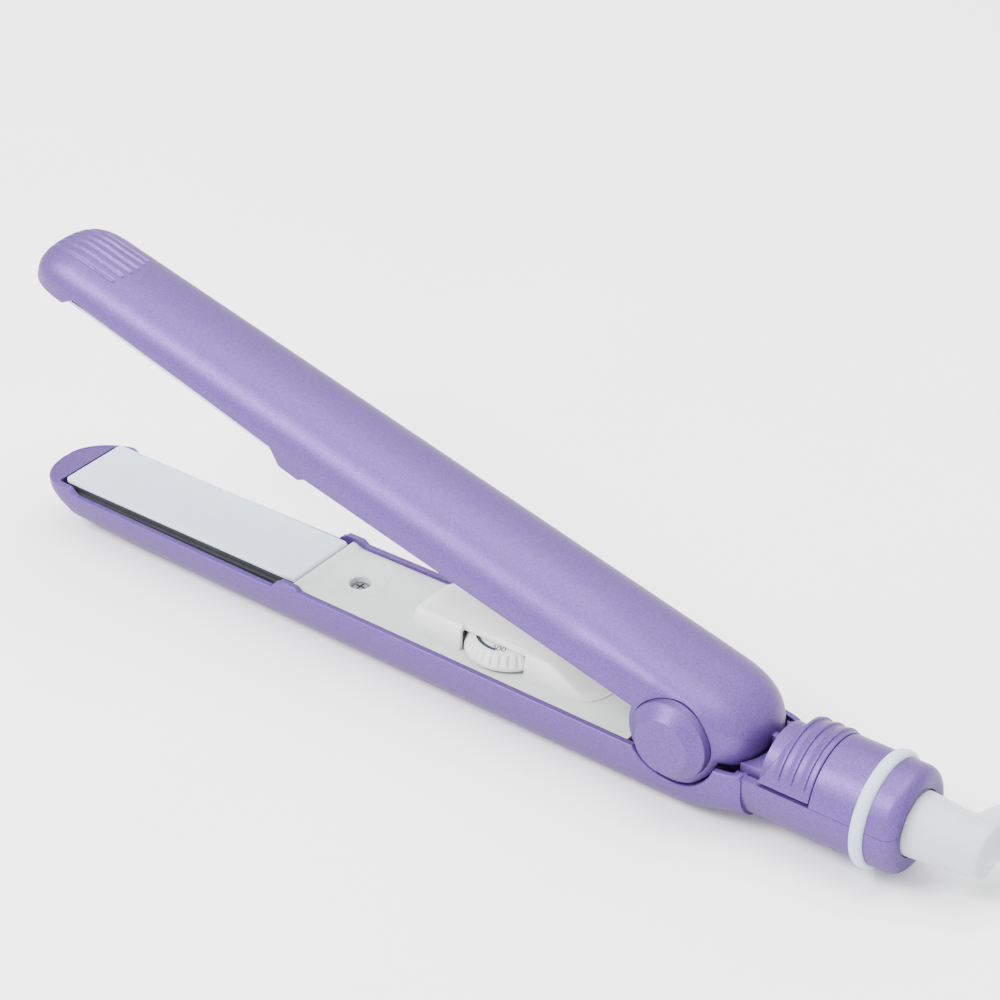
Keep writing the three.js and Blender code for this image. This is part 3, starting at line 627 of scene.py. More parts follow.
PAINT = pearl_paint()
WHITE = plain_plastic("white_plastic", (198, 203, 200), (190, 195, 192))
HOUSING = plain_plastic("dial_plastic", (222, 221, 222), (214, 213, 214), (0.3, 0.38), 1800, 0.03)
DARK = plain_plastic("dark_plastic", (46, 48, 53), (38, 40, 45), (0.5, 0.62))
RING = soft_vinyl("soft_ring", (182, 195, 212), (175, 188, 206))
LEAD = soft_vinyl("lead_plastic", (187, 191, 198), (180, 184, 191))
PLATE = plate_coating()
STEEL = metal("steel", (150, 150, 154), (118, 118, 124), 0.2)
BRASS = metal("brass", (214, 182, 110), (190, 158, 90), 0.25)
CERAMIC = plain_plastic("ceramic", (230, 224, 212), (214, 208, 196), (0.7, 0.85), 700, 0.1)
LAMINATE = plain_plastic("circuit_laminate", (52, 112, 72), (40, 92, 58), (0.4, 0.5), 900, 0.05)
INK = plain_plastic("dial_ink", (44, 50, 66), (34, 38, 52), (0.5, 0.6))
BEIGE = plain_plastic("dial_beige", (222, 212, 208), (214, 204, 200), (0.4, 0.5))


# ---------------------------------------------------------------- lead
# Where the lead isn't coiled, from the strain relief to the far side of the hank: the CAD's route.
LEAD_ROUTE = [
    (0.1768, 0.0387, 0.0170), (0.1794, 0.0453, 0.0167), (0.1831, 0.0513, 0.0155),
    (0.1885, 0.0561, 0.0132), (0.1951, 0.0591, 0.0102), (0.2023, 0.0604, 0.0072),
    (0.2097, 0.0601, 0.0048), (0.2171, 0.0583, 0.0034), (0.2241, 0.0555, 0.0033),
    (0.2309, 0.0532, 0.0033), (0.2395, 0.0520, 0.0033), (0.2515, 0.0517, 0.0033),
    (0.2635, 0.0517, 0.0034),
]  # in metres, in the row frame
# Half the width and the height of each turn of the hank, in the order that the lead is wound. The lead
# starts beside them. On the far side it eases over from one place to the next, a little earlier each time.
TURNS = [
    (29.4, HANK_Z[0] - 0.4), (OUTER_TURN, HANK_Z[0]), (INNER_TURN, HANK_Z[0]), (INNER_TURN, HANK_Z[1]),
    (OUTER_TURN, HANK_Z[1]), (OUTER_TURN, HANK_Z[2]), (INNER_TURN, HANK_Z[2]),
]
SHIFT_STARTS = [407.2, 407.2, 398, 389, 380, 371.2]
SHIFT_LENGTH = 34
FAR_LEFT = HANK_START + OUTER_TURN + CORD_DIAMETER / 2  # middles of the two end bends
FAR_RIGHT = HANK_END - OUTER_TURN - CORD_DIAMETER / 2
CLIMB_LENGTH = FAR_RIGHT - PLUG_X
# Takes X to the line of the elbow's leg.
LEG = Matrix.Translation((LEG_X, 0, TAIL_Z)) @ Matrix.Rotation(LEG_ANGLE, 4, "Z")


def through(points, step=2.5):
    """A smooth curve through the points, as more points."""
    padded = [points[0], *points, points[-1]]
    made = []
    for p0, p1, p2, p3 in zip(padded, padded[1:], padded[2:], padded[3:]):
        a, b, c, d = (Vector(p) for p in (p0, p1, p2, p3))
        count = max(round((c - b).length / step), 1)
        for i in range(count):
            t = i / count
            made.append(0.5 * ((2 * b) + (c - a) * t + (2 * a - 5 * b + 4 * c - d) * t**2
                               + (3 * b - a - 3 * c + d) * t**3))
    return made + [Vector(points[-1])]


def half_turn(middle, way, radius, height):
    """A bend round the hank's end, from its far side (way 1) or its near side (way -1)."""
    made = []
    for i in range(16):
        angle = pi * i / 16
        x = middle + way * radius * sin(angle)
        made.append((x, HANK_Y + way * radius * cos(angle), height))
    return made


def hank_route():
    """Six turns: far side, right bend, near side, left bend. The last one climbs into the plug."""
    made = []
    for turn, shift_start in enumerate(SHIFT_STARTS):
        radius, height = TURNS[turn]
        next_radius, next_height = TURNS[turn + 1]
        start = 408 if turn == 0 else FAR_LEFT
        for x in spread(start, FAR_RIGHT, 7 if turn == 0 else 12)[:-1]:
            share = smooth((x - shift_start) / SHIFT_LENGTH)
            made.append((x, HANK_Y + mix(radius, next_radius, share), mix(height, next_height, share)))
        made += half_turn(FAR_RIGHT, 1, next_radius, next_height)
        if turn == len(SHIFT_STARTS) - 1:
            break
        made += [(x, HANK_Y - next_radius, next_height) for x in spread(FAR_RIGHT, FAR_LEFT, 12)[:-1]]
        made += half_turn(FAR_LEFT, -1, next_radius, next_height)
    for i in range(9):
        share = smooth(i / 8)
        x = FAR_RIGHT - (CLIMB_LENGTH - 0.3) * i / 8
        made.append((x, mix(HANK_Y - INNER_TURN, PLUG_Y, share), mix(HANK_Z[2], PLUG_Z, share)))
    return made


def swept(path, radius, sides=18):
    """A round tube along close points, without twist."""
    rings = []
    normal = Vector((0, 0, 1))
    for i, point in enumerate(path):
        ahead = path[min(i + 1, len(path) - 1)] - path[max(i - 1, 0)]
        ahead.normalize()
        normal = (normal - ahead * normal.dot(ahead)).normalized()
        side = ahead.cross(normal)
        rings.append([point + radius * (normal * c + side * s) for c, s in circle(sides)])
    return loft(rings)


def even(points, step):
    """The same line with its points a steady step apart."""
    made = [points[0]]
    left = step
    for a, b in zip(points, points[1:]):
        length = (b - a).length
        done = 0.0
        while length - done >= left:
            done += left
            made.append(a.lerp(b, done / length))
            left = step
        left -= length - done
    return made + [points[-1]]


def make_lead():
    route = [TO_ROW.inverted() @ Vector(p) for p in LEAD_ROUTE]
    fine = through([LEG @ Vector((RELIEF_END - 1.5, 0, 0)), *route, *hank_route()])
    path = even(fine, 2.4)
    lead = solid("mains_lead", swept(path, CORD_DIAMETER / 2))
    lead.data.transform(TO_ROW)
    lead.data.shade_smooth()
    lead.data.set_sharp_from_angle(angle=radians(40))
    lead.data.materials.append(LEAD)
    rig.slot(lead, "lead_plastic")
    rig.replaces(lead, "cord_lead", "cord_hank", "cord_end")
    in_row = [TO_ROW @ p for p in path]
    length = sum((b - a).length for a, b in zip(in_row, in_row[1:]))
    flex_start, flex_end = (TO_ROW @ Vector((x, 0, 0)) for x in (315, 372))
    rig.blend(lead, "swivel", "lower_arm", start=flex_start, end=flex_end)
    return lead, in_row, length


def make_relief():
    """A tapered sleeve with shallow grooves where the lead leaves the elbow."""
    start, end = LEG_END - 1, RELIEF_END
    profile = []
    for distance in spread(start, end, 96):
        share = (distance - start) / (end - start)
        radius = mix(5.4, 3.9, share)
        in_groove = smooth(abs((share * 6) % 1 - 0.5) * 6 - 0.55)
        groove = 0.75 * (1 - in_groove) if 0.12 < share < 0.95 else 0
        profile.append((distance, radius - groove))
    profile = [(start, 3.0), *profile, (end, 3.0)]
    shape = lathe_x(profile, 0, 48)
    points = [LEG @ Vector(p) for p in shape[0]]
    relief = rounded(solid("relief", (points, shape[1])), 0.2, 2, 50)
    return place(relief, "strain_relief", LEAD, "lead_plastic", "swivel", ["cord_relief"])


def make_elbow():
    """Stub and leg in one soft moulding with a flat face at the end of the stub."""
    stub_profile = [(266, 2.4), (266, 4), (280.4, 4), (280.4, 11), (284, 11), (284, 9), (287, 9)]
    stub_profile += round_end(STUB_END, STUB_RADIUS, STUB_ROUNDING, 4)
    stub_profile += [(STUB_END, 0.02), (284, 0.02), (284, 2.4)]
    stub = solid("elbow", lathe_x(stub_profile, TAIL_Z, 72))
    stations = [(0, 6.6), (2, 6.6), (6, 6.55), (10, 6.45), (12.8, 6.35), (13.6, 6.1), (LEG_END, 5.6)]
    rings = []
    for distance, radius in stations:
        rings.append([LEG @ Vector((distance, radius * c, radius * s)) for c, s in circle(48)])
    combine(stub, "UNION", loft(rings))
    return place(soft_joint(stub), "swivel_elbow_skin", LEAD, "lead_plastic", "swivel", ["swivel_elbow"])


def soft_joint(obj):
    """Turns the sharp crease between two parts of one moulding into a soft one."""
    modify(obj, "REMESH", mode="VOXEL", voxel_size=0.4)
    return modify(obj, "SMOOTH", factor=0.5, iterations=8)


def plug_ring(x, half_width, half_height):
    ring = []
    for c, s in circle(48):
        ring.append((x, PLUG_Y + half_width * copysign(abs(c) ** 0.6, c),
                     PLUG_Z + half_height * copysign(abs(s) ** 0.6, s)))
    return ring


def make_plug():
    """A moulded two-blade plug: a narrow sleeve that widens into the grip."""
    stations = [(0, 0.36), (0.01, 0.4), (0.1, 0.43), (0.3, 0.46), (0.36, 0.6), (0.42, 0.86), (0.5, 0.97),
                (0.7, 1.0), (0.95, 1.0), (0.985, 0.97), (1, 0.9)]
    rings = []
    for share, size in stations:
        height = PLUG_HALF_HEIGHT * clamp(size, 0.66)
        rings.append(plug_ring(PLUG_X - PLUG_LENGTH * share, PLUG_HALF_WIDTH * size, height))
    plug = rounded(solid("plug", loft(rings)), 0.5, 3, 40)
    place(plug, "mains_plug", LEAD, "lead_plastic", "lower_arm", ["plug_body"])
    blades = []
    for side, word in ((-1, "near"), (1, "far")):
        y = PLUG_Y + side * BLADE_Y
        front = PLUG_X - PLUG_LENGTH - 0.3
        low, high = (front - 17, y - 0.75, PLUG_Z - 3.2), (front + 0.5, y + 0.75, PLUG_Z + 3.2)
        blade = solid("blade", block(low, high))
        combine(blade, "DIFFERENCE", lathe_y(rectangle(0.01, 1.5, y - 3, y + 3), front - 13.6, PLUG_Z, 32))
        rounded(blade, 0.25, 3)
        blades.append(place(blade, f"plug_pin_{word}", BRASS, "brass", "lower_arm", [f"plug_blade_{word}"]))
    return [plug, *blades]


def make_tie():
    """A flat strap round the hank."""
    half = OUTER_TURN + 3.2
    low, high = HANK_Z[0] - 3.2, HANK_TOP + 0.3
    rings = []
    for grow in (0.0, 0.8):
        corner = TIE_CORNER + grow
        for x in ((TIE_X, TIE_X + TIE_WIDTH) if grow == 0 else (TIE_X + TIE_WIDTH, TIE_X)):
            ring = []
            for cy, cz, start in ((1, 1, 0), (-1, 1, 90), (-1, -1, 180), (1, -1, 270)):
                for i in range(7):
                    a = radians(start + 15 * i)
                    y = HANK_Y + cy * (half - TIE_CORNER) + corner * cos(a)
                    z = (high - TIE_CORNER if cz > 0 else low + TIE_CORNER) + corner * sin(a)
                    ring.append((x, y, z))
            rings.append(ring)
    tie = rounded(solid("tie", hoop(rings)), 0.2, 2, 60)
    return place(tie, "lead_tie", LEAD, "lead_plastic", "lower_arm", ["cord_tie"])


# ---------------------------------------------------------------- casings
def nose_fullness(x, power, tip=NOSE_TIP, start=NOSE_START):
    return fullness(clamp((start - x) / (start - tip)), power)


def arm_half_width(x):
    return ramp(x, NOSE_START, HINGE_START, NOSE_HALF_WIDTH, HINGE_HALF_WIDTH)


def side_curve(half_width, centre_z, depth, powers, rim, flat_z, steps):
    """Half a superellipse from +Y to -Y, from just inside the rim's height on one side to the other.
    depth is negative where the casing bulges down. powers are for the far and the near side."""
    sign = 1 if depth > 0 else -1
    beyond = sign * (rim - centre_z)
    made = []
    for side, power in ((1, powers[0]), (-1, powers[1])):
        first = asin(clamp(beyond / abs(depth)) ** (power / 2)) if beyond > 0 else 0
        half = []
        for i in range(steps + 1):
            angle = mix(first, pi / 2, i / steps)
            across = cos(angle) ** (2 / power) if i < steps else 0
            z = centre_z + depth * sin(angle) ** (2 / power)
            z = max(z, flat_z) if sign < 0 else min(z, flat_z)
            half.append((side * half_width * across, z))
        if beyond < 0:
            half[0] = (side * half_width, rim)
        made += half if side > 0 else list(reversed(half))[1:]
    return made


def lip(edge, rim, inward):
    """Rounded outer edge, flat rim and crisp inner edge of a wall, from outside to inside.
    edge is the y of the skin, and inward is -1 where the casing lies below the rim."""
    side = copysign(1, edge)
    rounding = min(LIP, abs(edge) * 0.3)
    made = []
    for i in range(1, 5):
        angle = pi / 2 * i / 4
        y = abs(edge) - rounding + rounding * cos(angle)
        made.append((side * y, rim + inward * (rounding - rounding * sin(angle))))
    inner = max(abs(edge) - WALL, abs(edge) * 0.4)
    made.append((side * (inner + 0.1), rim))
    made.append((side * inner, rim + inward * 0.1))
    return made


# Rim of the lower casing: it dips beside the plate, steps up behind it and makes room for the hinge.
LOWER_RIM = [
    (-20, -0.8), (3.2, -0.8), (6.8, -2.95), (83.8, -2.95), (86.4, -0.6), (88.4, 0.5), (93.2, 0.5),
    (95.4, -0.8), (210, -0.8),
]
EAR_ROOM = EAR_RADIUS + 0.4


def lower_rim(x):
    if abs(x - HINGE_X) < EAR_ROOM:
        arc = HINGE_Z - sqrt(EAR_ROOM**2 - (x - HINGE_X) ** 2)
        return min(arc, -0.8 if x < HINGE_X else 2.4)
    return along_profile(LOWER_RIM, x) if x < HINGE_X else 2.4


def lower_row(x):
    """Section of the lower casing at x: its skin, rim and hollow, as a closed ring. The nose is a little
    slimmer on its far side."""
    rear = clamp((x - HINGE_END) / (CASING_END - HINGE_END))
    under = clamp((x - 222) / 14)
    width_share = nose_fullness(x, 2.6) * (1 - 0.13 * rear**4)
    depth_share = nose_depth(x) * (1 - 0.155 * under**2.2)
    half_width = max(arm_half_width(x) * width_share, 0.4)
    power = ramp(x, 0, HINGE_START, 2.15, 2.9) - 0.7 * rear
    depth = -(CENTRE_Z - FLOOR_Z + 0.35) * depth_share
    rim = lower_rim(x)
    end_round = 1.4
    past = x - (CASING_END - end_round)
    if past > 0:
        rim -= end_round - sqrt(max(end_round**2 - past**2, 0))
    rounding = min(LIP, half_width * 0.3)
    flat_z = max(CENTRE_Z + depth + 0.05, FLOOR_Z)
    outer = side_curve(half_width, CENTRE_Z, depth, (power, power), rim - rounding, flat_z, 40)
    near = lip(outer[-1][0], rim, -1)
    far = lip(outer[0][0], rim, -1)
    start_z = min(CENTRE_Z, rim - 0.2)
    bottom = -13.5 if x > 5 else -11
    hollow = hollow_row(-near[-1][0], rim - 0.1, HOLLOW_START < x < HOLLOW_END, 2 / power, start_z,
                        bottom - start_z)
    slim = nose_fullness(x, 1.9, NOSE_TIP, 9) / nose_fullness(x, 2.6)
    return [(x, y * slim if y > 0 else y, z) for y, z in outer + near + hollow + list(reversed(far))]


def nose_depth(x):
    """Share of the casing's full depth: a slope up to the tip, and the last bit far along the arm."""
    if x < NOSE_START:
        return nose_fullness(x, 1.4, NOSE_TIP, 6)
    return mix(nose_fullness(NOSE_START, 1.4, NOSE_TIP, 6), 1, smooth((x + 12) / 42))


def hollow_row(half_width, solid_z, open_here, power, start_z, depth, limit=99):
    """The inside of a casing from the near rim to the far one, flat across where it is solid."""
    made = []
    for i in range(25):
        share = (i + 0.5) / 25
        if open_here:
            across = cos(pi * share)
            z = start_z + depth * sin(pi * share) ** power
            made.append((-0.99 * half_width * copysign(abs(across) ** power, across), min(z, limit)))
        else:
            made.append((mix(-half_width, half_width, share), solid_z))
    return made


def lower_stations():
    nose = [mix(NOSE_TIP, NOSE_START, 1 - cos(pi / 2 * i / 26)) for i in range(2, 27)]
    nose.append(NOSE_TIP + 0.055)
    fronts = [HOLLOW_START - 0.01, HOLLOW_START + 0.01]
    window = spread(2.6, 7.4, 10) + spread(83.6, 96.2, 26)
    middle = spread(8, 83, 24) + spread(98, 208, 40)
    ear = [HINGE_X - EAR_ROOM * cos(pi * i / 40) for i in range(1, 40)]
    rear = spread(236.5, 241.4, 8) + [HOLLOW_END - 0.01, HOLLOW_END + 0.01] + spread(241.8, CASING_END, 6)
    return sorted(set(nose + fronts + window + middle + ear + rear))


def barrel_profile(start):
    """Closed (x, radius) outline of the tail's wall: skin, seat of the ring, rounded end, hole, inside."""
    low, high = RING_START - 0.1, RING_START + RING_WIDTH + 0.1
    groove = [(low, TAIL_RADIUS), (low, RING_SEAT), (high, RING_SEAT), (high, TAIL_RADIUS)]
    rounding = round_end(TAIL_END, TAIL_RADIUS, TAIL_ROUNDING, 10)
    hole = [(TAIL_END, 9.7), (TAIL_END - 0.15, 9.4), (TAIL_END - 2.4, 9.3)]
    inside = [(TAIL_END - 2.4, TAIL_INSIDE), (start, TAIL_INSIDE)]
    skin = [(x, TAIL_RADIUS) for x in spread(start, RING_START - 1, 8)]
    return skin + groove + rounding + hole + inside


def part_of_turn(profile, cut_z, above, segments=72):
    """A closed (x, radius) outline turned about the tail's axis, only above or below the height cut_z."""
    rings = []
    for i in range(segments + 1):
        ring = []
        for x, radius in profile:
            edge = asin(clamp((cut_z - TAIL_Z) / radius, -1, 1))
            start, end = (edge, pi - edge) if above else (edge, -pi - edge)
            angle = mix(start, end, i / segments)
            ring.append((x, radius * cos(angle), TAIL_Z + radius * sin(angle)))
        rings.append(ring)
    return loft(rings)


def make_lower_casing():
    casing = solid("casing", loft([lower_row(x) for x in lower_stations()]))
    ledge_room = block((238, -13.3, 1.5), (250, 13.3, 10))
    combine(casing, "DIFFERENCE", ledge_room)
    tail = solid("tail", part_of_turn(barrel_profile(240), SEAM_Z - SEAM, False))
    screw_room = [(0.01, -30), (3.1, -30), (3.1, -14.4), (1.7, -14.4), (1.7, 0), (0.01, 0)]
    combine(tail, "DIFFERENCE", lathe_z(screw_room, TAIL_SCREW_X, 0, 40))
    disc = [(4.6, 8.3), (8.3, 8.3), (8.5, 8.5), (8.5, 13), (8.3, 13.2), (4.6, 13.2)]
    lugs = []
    for side in (-1, 1):
        lugs.append(lathe_y([(radius, side * y) for radius, y in disc], segments=64))
        foot = sorted((side * 8.6, side * 13))
        lugs.append(block((HINGE_X - 7, foot[0], -14), (HINGE_X + 7, foot[1], HINGE_Z - 5.5)))
    lug = solid("lugs", both(*lugs))
    join_objects(casing, [tail, lug])
    return place(casing, "lower_casing", PAINT, "pearl_paint", "lower_arm", ["lower_shell"])


def join_objects(target, others):
    """Puts the others' meshes into target's."""
    work = bmesh.new()
    work.from_mesh(target.data)
    for other in others:
        work.from_mesh(other.data)
        bpy.data.objects.remove(other)
    work.to_mesh(target.data)
    work.free()
    return target


# Rim of the upper casing, closed: it rises beside the plate and again towards the hinge.
UPPER_RIM = [
    (-20, 1.5), (1.0, 1.5), (4.8, 5.0), (81.3, 5.0), (85.8, 1.0), (92.8, 1.0), (94.8, 2.7),
    (208.5, 8.2), (222.2, 8.2), (223.4, 7.2), (245, 7.2),
]


def heel_fullness(x):
    return fullness(clamp((x - HINGE_X) / (HEEL_END - HINGE_X)), HEEL_POWER)


def groove_depth(x, y):
    """Depth of the lengthwise grip grooves on top of the nose."""
    depth = 0.0
    for i in range(-2, 4):
        middle = i * 3 - 1.5
        end = 14.5 - abs(i - 0.5) * 0.6
        across = clamp(1 - abs(y - middle) / 0.8)
        depth += 0.75 * smooth(across) * smooth((end - x) / 1.2)
    return depth


def upper_row(x):
    """Section of the closed upper casing at x."""
    width_share = nose_fullness(x, 3.1, UPPER_NOSE_TIP) * heel_fullness(x)
    roof_share = nose_fullness(x, 2.3, UPPER_NOSE_TIP) * heel_fullness(x)
    half_width = max(arm_half_width(x) * width_share, 0.4)
    centre_z = ramp(x, NOSE_START, HINGE_START, 4.2, HINGE_Z)
    roof_z = ramp(x, NOSE_START, HINGE_END, ROOF_AT_NOSE, ROOF_AT_HINGE)
    power = ramp(x, 0, HINGE_START, 2.2, 2.3)
    shoulder = ramp(x, 186, HINGE_START, 0, 1.7)
    depth = (roof_z - centre_z) * roof_share
    rim = along_profile(UPPER_RIM, x, straight)
    rounding = min(LIP, half_width * 0.3)
    outer = side_curve(half_width, centre_z, depth, (power, power + shoulder), rim + rounding, 99, 90)
    grooved = []
    for y, z in outer:
        if x < 15 and z > centre_z + 0.35 * depth:
            z -= groove_depth(x, y)
        grooved.append((y, z))
    near = lip(outer[-1][0], rim, 1)
    far = lip(outer[0][0], rim, 1)
    hollow = hollow_row(-near[-1][0], rim + 0.1, HOLLOW_START < x < UPPER_HOLLOW_END, 0.85,
                        max(centre_z, rim + 0.2), max(depth - 2.2, 1), centre_z + depth - 1.5)
    return [(x, y, z) for y, z in grooved + near + hollow + list(reversed(far))]


def upper_stations():
    nose = [mix(UPPER_NOSE_TIP, NOSE_START, 1 - cos(pi / 2 * i / 30)) for i in range(31)]
    nose[0] = UPPER_NOSE_TIP + 0.01
    limits = [HOLLOW_START - 0.01, HOLLOW_START + 0.01, UPPER_HOLLOW_END - 0.01, UPPER_HOLLOW_END + 0.01]
    window = spread(0.6, 5.4, 10) + spread(6, 16, 16) + spread(80.4, 96, 32)
    middle = spread(17, 79, 20) + spread(99, 207, 40) + spread(208.5, 223.4, 12)
    heel = [mix(223.4, HEEL_END, sin(pi / 2 * i / 28)) for i in range(1, 28)]
    return sorted(set(nose + limits + window + middle + heel + [HEEL_END - 0.03]))


def make_upper_casing():
    casing = solid("casing", loft([upper_row(x) for x in upper_stations()]))
    envelope = []
    for x in spread(205, 240, 24):
        share = heel_fullness(x)
        height = (ramp(x, NOSE_START, HINGE_END, 14.7, ROOF_AT_HINGE) - HINGE_Z) * share
        curve = side_curve(arm_half_width(x) * share, HINGE_Z, height, (2.3, 4.0), -14, 99, 40)
        envelope.append([(x, y, z) for y, z in curve])
    profile = [(2.9, 13.6), (13.1, 13.6), (EAR_RADIUS, 14), (EAR_RADIUS, 16.5), (13.1, 16.9), (2.9, 16.9)]
    for side in (-1, 1):
        ear = solid("ear", lathe_y([(radius, side * y) for radius, y in profile]))
        combine(casing, "UNION", combine(ear, "INTERSECT", loft(envelope)))
    near_room = rectangle(0.01, CAP_RADIUS + 0.25, -15.2, -25)
    far_room = rectangle(0.01, 4.6, 15.2, 25)
    bore = rectangle(0.01, 2.9, -25, 25)
    for room, segments in ((near_room, 128), (far_room, 64), (bore, 48)):
        combine(casing, "DIFFERENCE", lathe_y(room, segments=segments))
    return place(casing, "upper_casing", PAINT, "pearl_paint", "upper_arm", ["upper_shell"], True)


def make_caps():
    """The near cap is wide with a bevelled face, the far one a small plain plug."""
    near = [(0.02, -15.5), (11.2, -15.5), (CAP_RADIUS, -15.8), (CAP_RADIUS, -18.3), (11.4, -18.55),
            (11.2, -18.7), (8.1, -21.85), (7.85, -22), (0.02, -22)]
    far = [(0.02, 15.5), (4.2, 15.5), (4.4, 15.7), (4.4, 16.8), (4.1, 17.1), (3.8, 17.2), (0.02, 17.2)]
    for word, profile in (("near", near), ("far", far)):
        cap = solid("cap", lathe_y(profile, segments=128))
        place(cap, f"hinge_disc_{word}", PAINT, "pearl_paint", "upper_arm", [f"hinge_cap_{word}"], True, 14)


# ---------------------------------------------------------------- tail
def heel_reach(y):
    """How far the rear of the upper arm reaches from the hinge axis at this y."""
    return (HEEL_END - HINGE_X) * fullness(clamp(abs(y) / HINGE_HALF_WIDTH), HEEL_POWER)


def make_tail_cover():
    cover = solid("cover", part_of_turn(barrel_profile(SLIDER_REAR + 0.3), SEAM_Z + SEAM, True))
    saddle_profile = [(246.5, 10.6), (246.5, 12.2), (SLIDER_REAR + 0.4, 12.2), (SLIDER_REAR + 0.4, 13.6),
                      (SLIDER_REAR + 3, 13.6), (SLIDER_REAR + 3, 10.6)]
    saddle = solid("saddle", part_of_turn(saddle_profile, SEAM_Z + SEAM, True))
    ledge_rings = []
    for y in spread(-LEDGE_HALF_WIDTH, LEDGE_HALF_WIDTH, 40):
        front = HINGE_X + sqrt((heel_reach(y) + 0.7) ** 2 - (HINGE_Z - LEDGE_Z) ** 2)
        ledge_rings.append([(front, y, SEAM_Z - 3), (front, y, LEDGE_Z), (249, y, LEDGE_Z),
                            (249, y, SEAM_Z - 3)])
    ledge = rounded(solid("ledge", loft(ledge_rings)), 0.25, 2, 50)
    rail = rounded(solid("rail", block((243, -1, 3), (249, 1, RAIL_TOP))), 0.3, 3)
    boss = solid("boss", lathe_z(rectangle(1.2, 4, -8.4, 10.6), TAIL_SCREW_X, 0, 48))
    join_objects(cover, [saddle, ledge, rail, boss])
    return place(cover, "tail_top", PAINT, "pearl_paint", "lower_arm", ["tail_cover"])


# Where the slider's front edge is at each height: upright at first, then slanting back.
SLIDER_FRONT_LINE = [(-5, SLIDER_FRONT), (3.1, SLIDER_FRONT), (10, 250.8), (18, 253.4)]


def slider_height(x, lift):
    """Saw-tooth ribs: each rises slowly towards the tail and drops at its rear edge."""
    height = 0.0
    for rib in SLIDER_RIBS:
        before = rib - x
        slope = before / 2.4 if before >= 0 else -before / 0.25
        height = max(height, RIB_HEIGHT * smooth(1 - slope))
    return height * lift


def make_slider():
    """A curved thumb slide with three ribs, its front edge slanting back towards the top."""
    rings = []
    edge = asin((3.1 - TAIL_Z) / SLIDER_RADIUS)
    for angle in spread(edge, pi - edge, 120):
        z = TAIL_Z + SLIDER_RADIUS * sin(angle)
        front = along_profile(SLIDER_FRONT_LINE, z, straight)
        end = clamp((min(angle, pi - angle) - edge) / radians(16))
        lift = smooth((end - 0.35) / 0.5)
        ring = []
        for x in [front, *spread(front + 0.2, SLIDER_REAR - 0.25, 84), SLIDER_REAR]:
            height = slider_height(x, lift)
            corner = 0.2 if x in (front, SLIDER_REAR) else 0
            radius = SLIDER_RADIUS + height - corner
            ring.append((x, radius * cos(angle), TAIL_Z + radius * sin(angle)))
        for x in (SLIDER_REAR, front):
            ring.append((x, SLIDER_INSIDE * cos(angle), TAIL_Z + SLIDER_INSIDE * sin(angle)))
        rings.append(ring)
    slide = solid("slide", loft(rings))
    return place(slide, "lock_slide_skin", PAINT, "pearl_paint", "lock", ["lock_slider"], sharp=28)


def make_ring():
    middle, half = RING_START + RING_WIDTH / 2, RING_WIDTH / 2
    profile = [(middle + half, 14.2), (middle - half, 14.2)]
    for angle in spread(pi, 0, 14):
        profile.append((middle + half * cos(angle), 15.0 + 1.4 * sin(angle)))
    ring = solid("ring", lathe_x(profile, TAIL_Z, 128))
    return place(ring, "soft_ring_band", RING, "soft_ring", "lower_arm", ["tail_ring"], sharp=60)


# ---------------------------------------------------------------- plates and covers
def plate_row(x):
    """Section of a plate: thin at the rounded nose corners and at the rolled rear edge."""
    corner = 1.4
    inset = 0.0
    if x < corner:
        inset = corner - sqrt(max(corner**2 - (corner - x) ** 2, 0))
    top = 0.0
    if x > PLATE_LENGTH - 1.1:
        top = -(1.1 - sqrt(max(1.1**2 - (x - PLATE_LENGTH + 1.1) ** 2, 0)))
    if x < 0.35:
        top = -(0.35 - sqrt(max(0.35**2 - (0.35 - x) ** 2, 0)))
    half = PLATE_HALF_WIDTH - inset
    ring = [(x, -half, -PLATE_THICKNESS), (x, half, -PLATE_THICKNESS)]
    edge = min(0.35, PLATE_THICKNESS + top)
    return ring + [(x, y, z) for y, z in rounded_top(half, top, edge, 5)]


def facing_down(shape):
    """A piece of the lower arm turned over onto the upper one, with a gap of 0.3 mm between the plates."""
    points, faces = shape
    return [(x, y, 0.3 - z) for x, y, z in points], faces


def make_plates():
    nose = [1.4 * (1 - cos(pi / 2 * i / 8)) for i in range(9)]
    rear = [PLATE_LENGTH - 1.1 + 1.1 * sin(pi / 2 * i / 8) for i in range(9)]
    shape = loft([plate_row(x) for x in [*nose, *spread(3, 87, 12), *rear]])
    for word, plate, opened in (("lower", shape, False), ("upper", facing_down(shape), True)):
        place(solid("plate", plate), f"{word}_hot_plate", PLATE, "plate_coating", f"{word}_arm",
              [f"{word}_plate"], opened, 50)


def carrier_shape():
    raised = block((0.6, -11.6, -7), (PLATE_LENGTH - 1.6, 11.6, -PLATE_THICKNESS - 0.05))
    flange = block((-1, -12.4, -5.4), (PLATE_LENGTH - 1.2, 12.4, -3.4))
    return both(raised, flange)


def make_carriers():
    shape = carrier_shape()
    for word, holder, opened in (("lower", shape, False), ("upper", facing_down(shape), True)):
        carrier = rounded(solid("carrier", holder), 0.2, 2)
        place(carrier, f"{word}_carrier", DARK, "dark_plastic", f"{word}_arm",
              [f"{word}_plate_carrier"], opened)


def cover_strip(profile, inset):
    """A strip between the side walls, drawn by its (x, top) line, 1.6 mm thick."""
    rings = []
    for x, top in profile:
        half = arm_half_width(x) - WALL - inset
        rings.append([(x, -half, top - 1.6), (x, half, top - 1.6), (x, half, top), (x, -half, top)])
    return loft(rings)


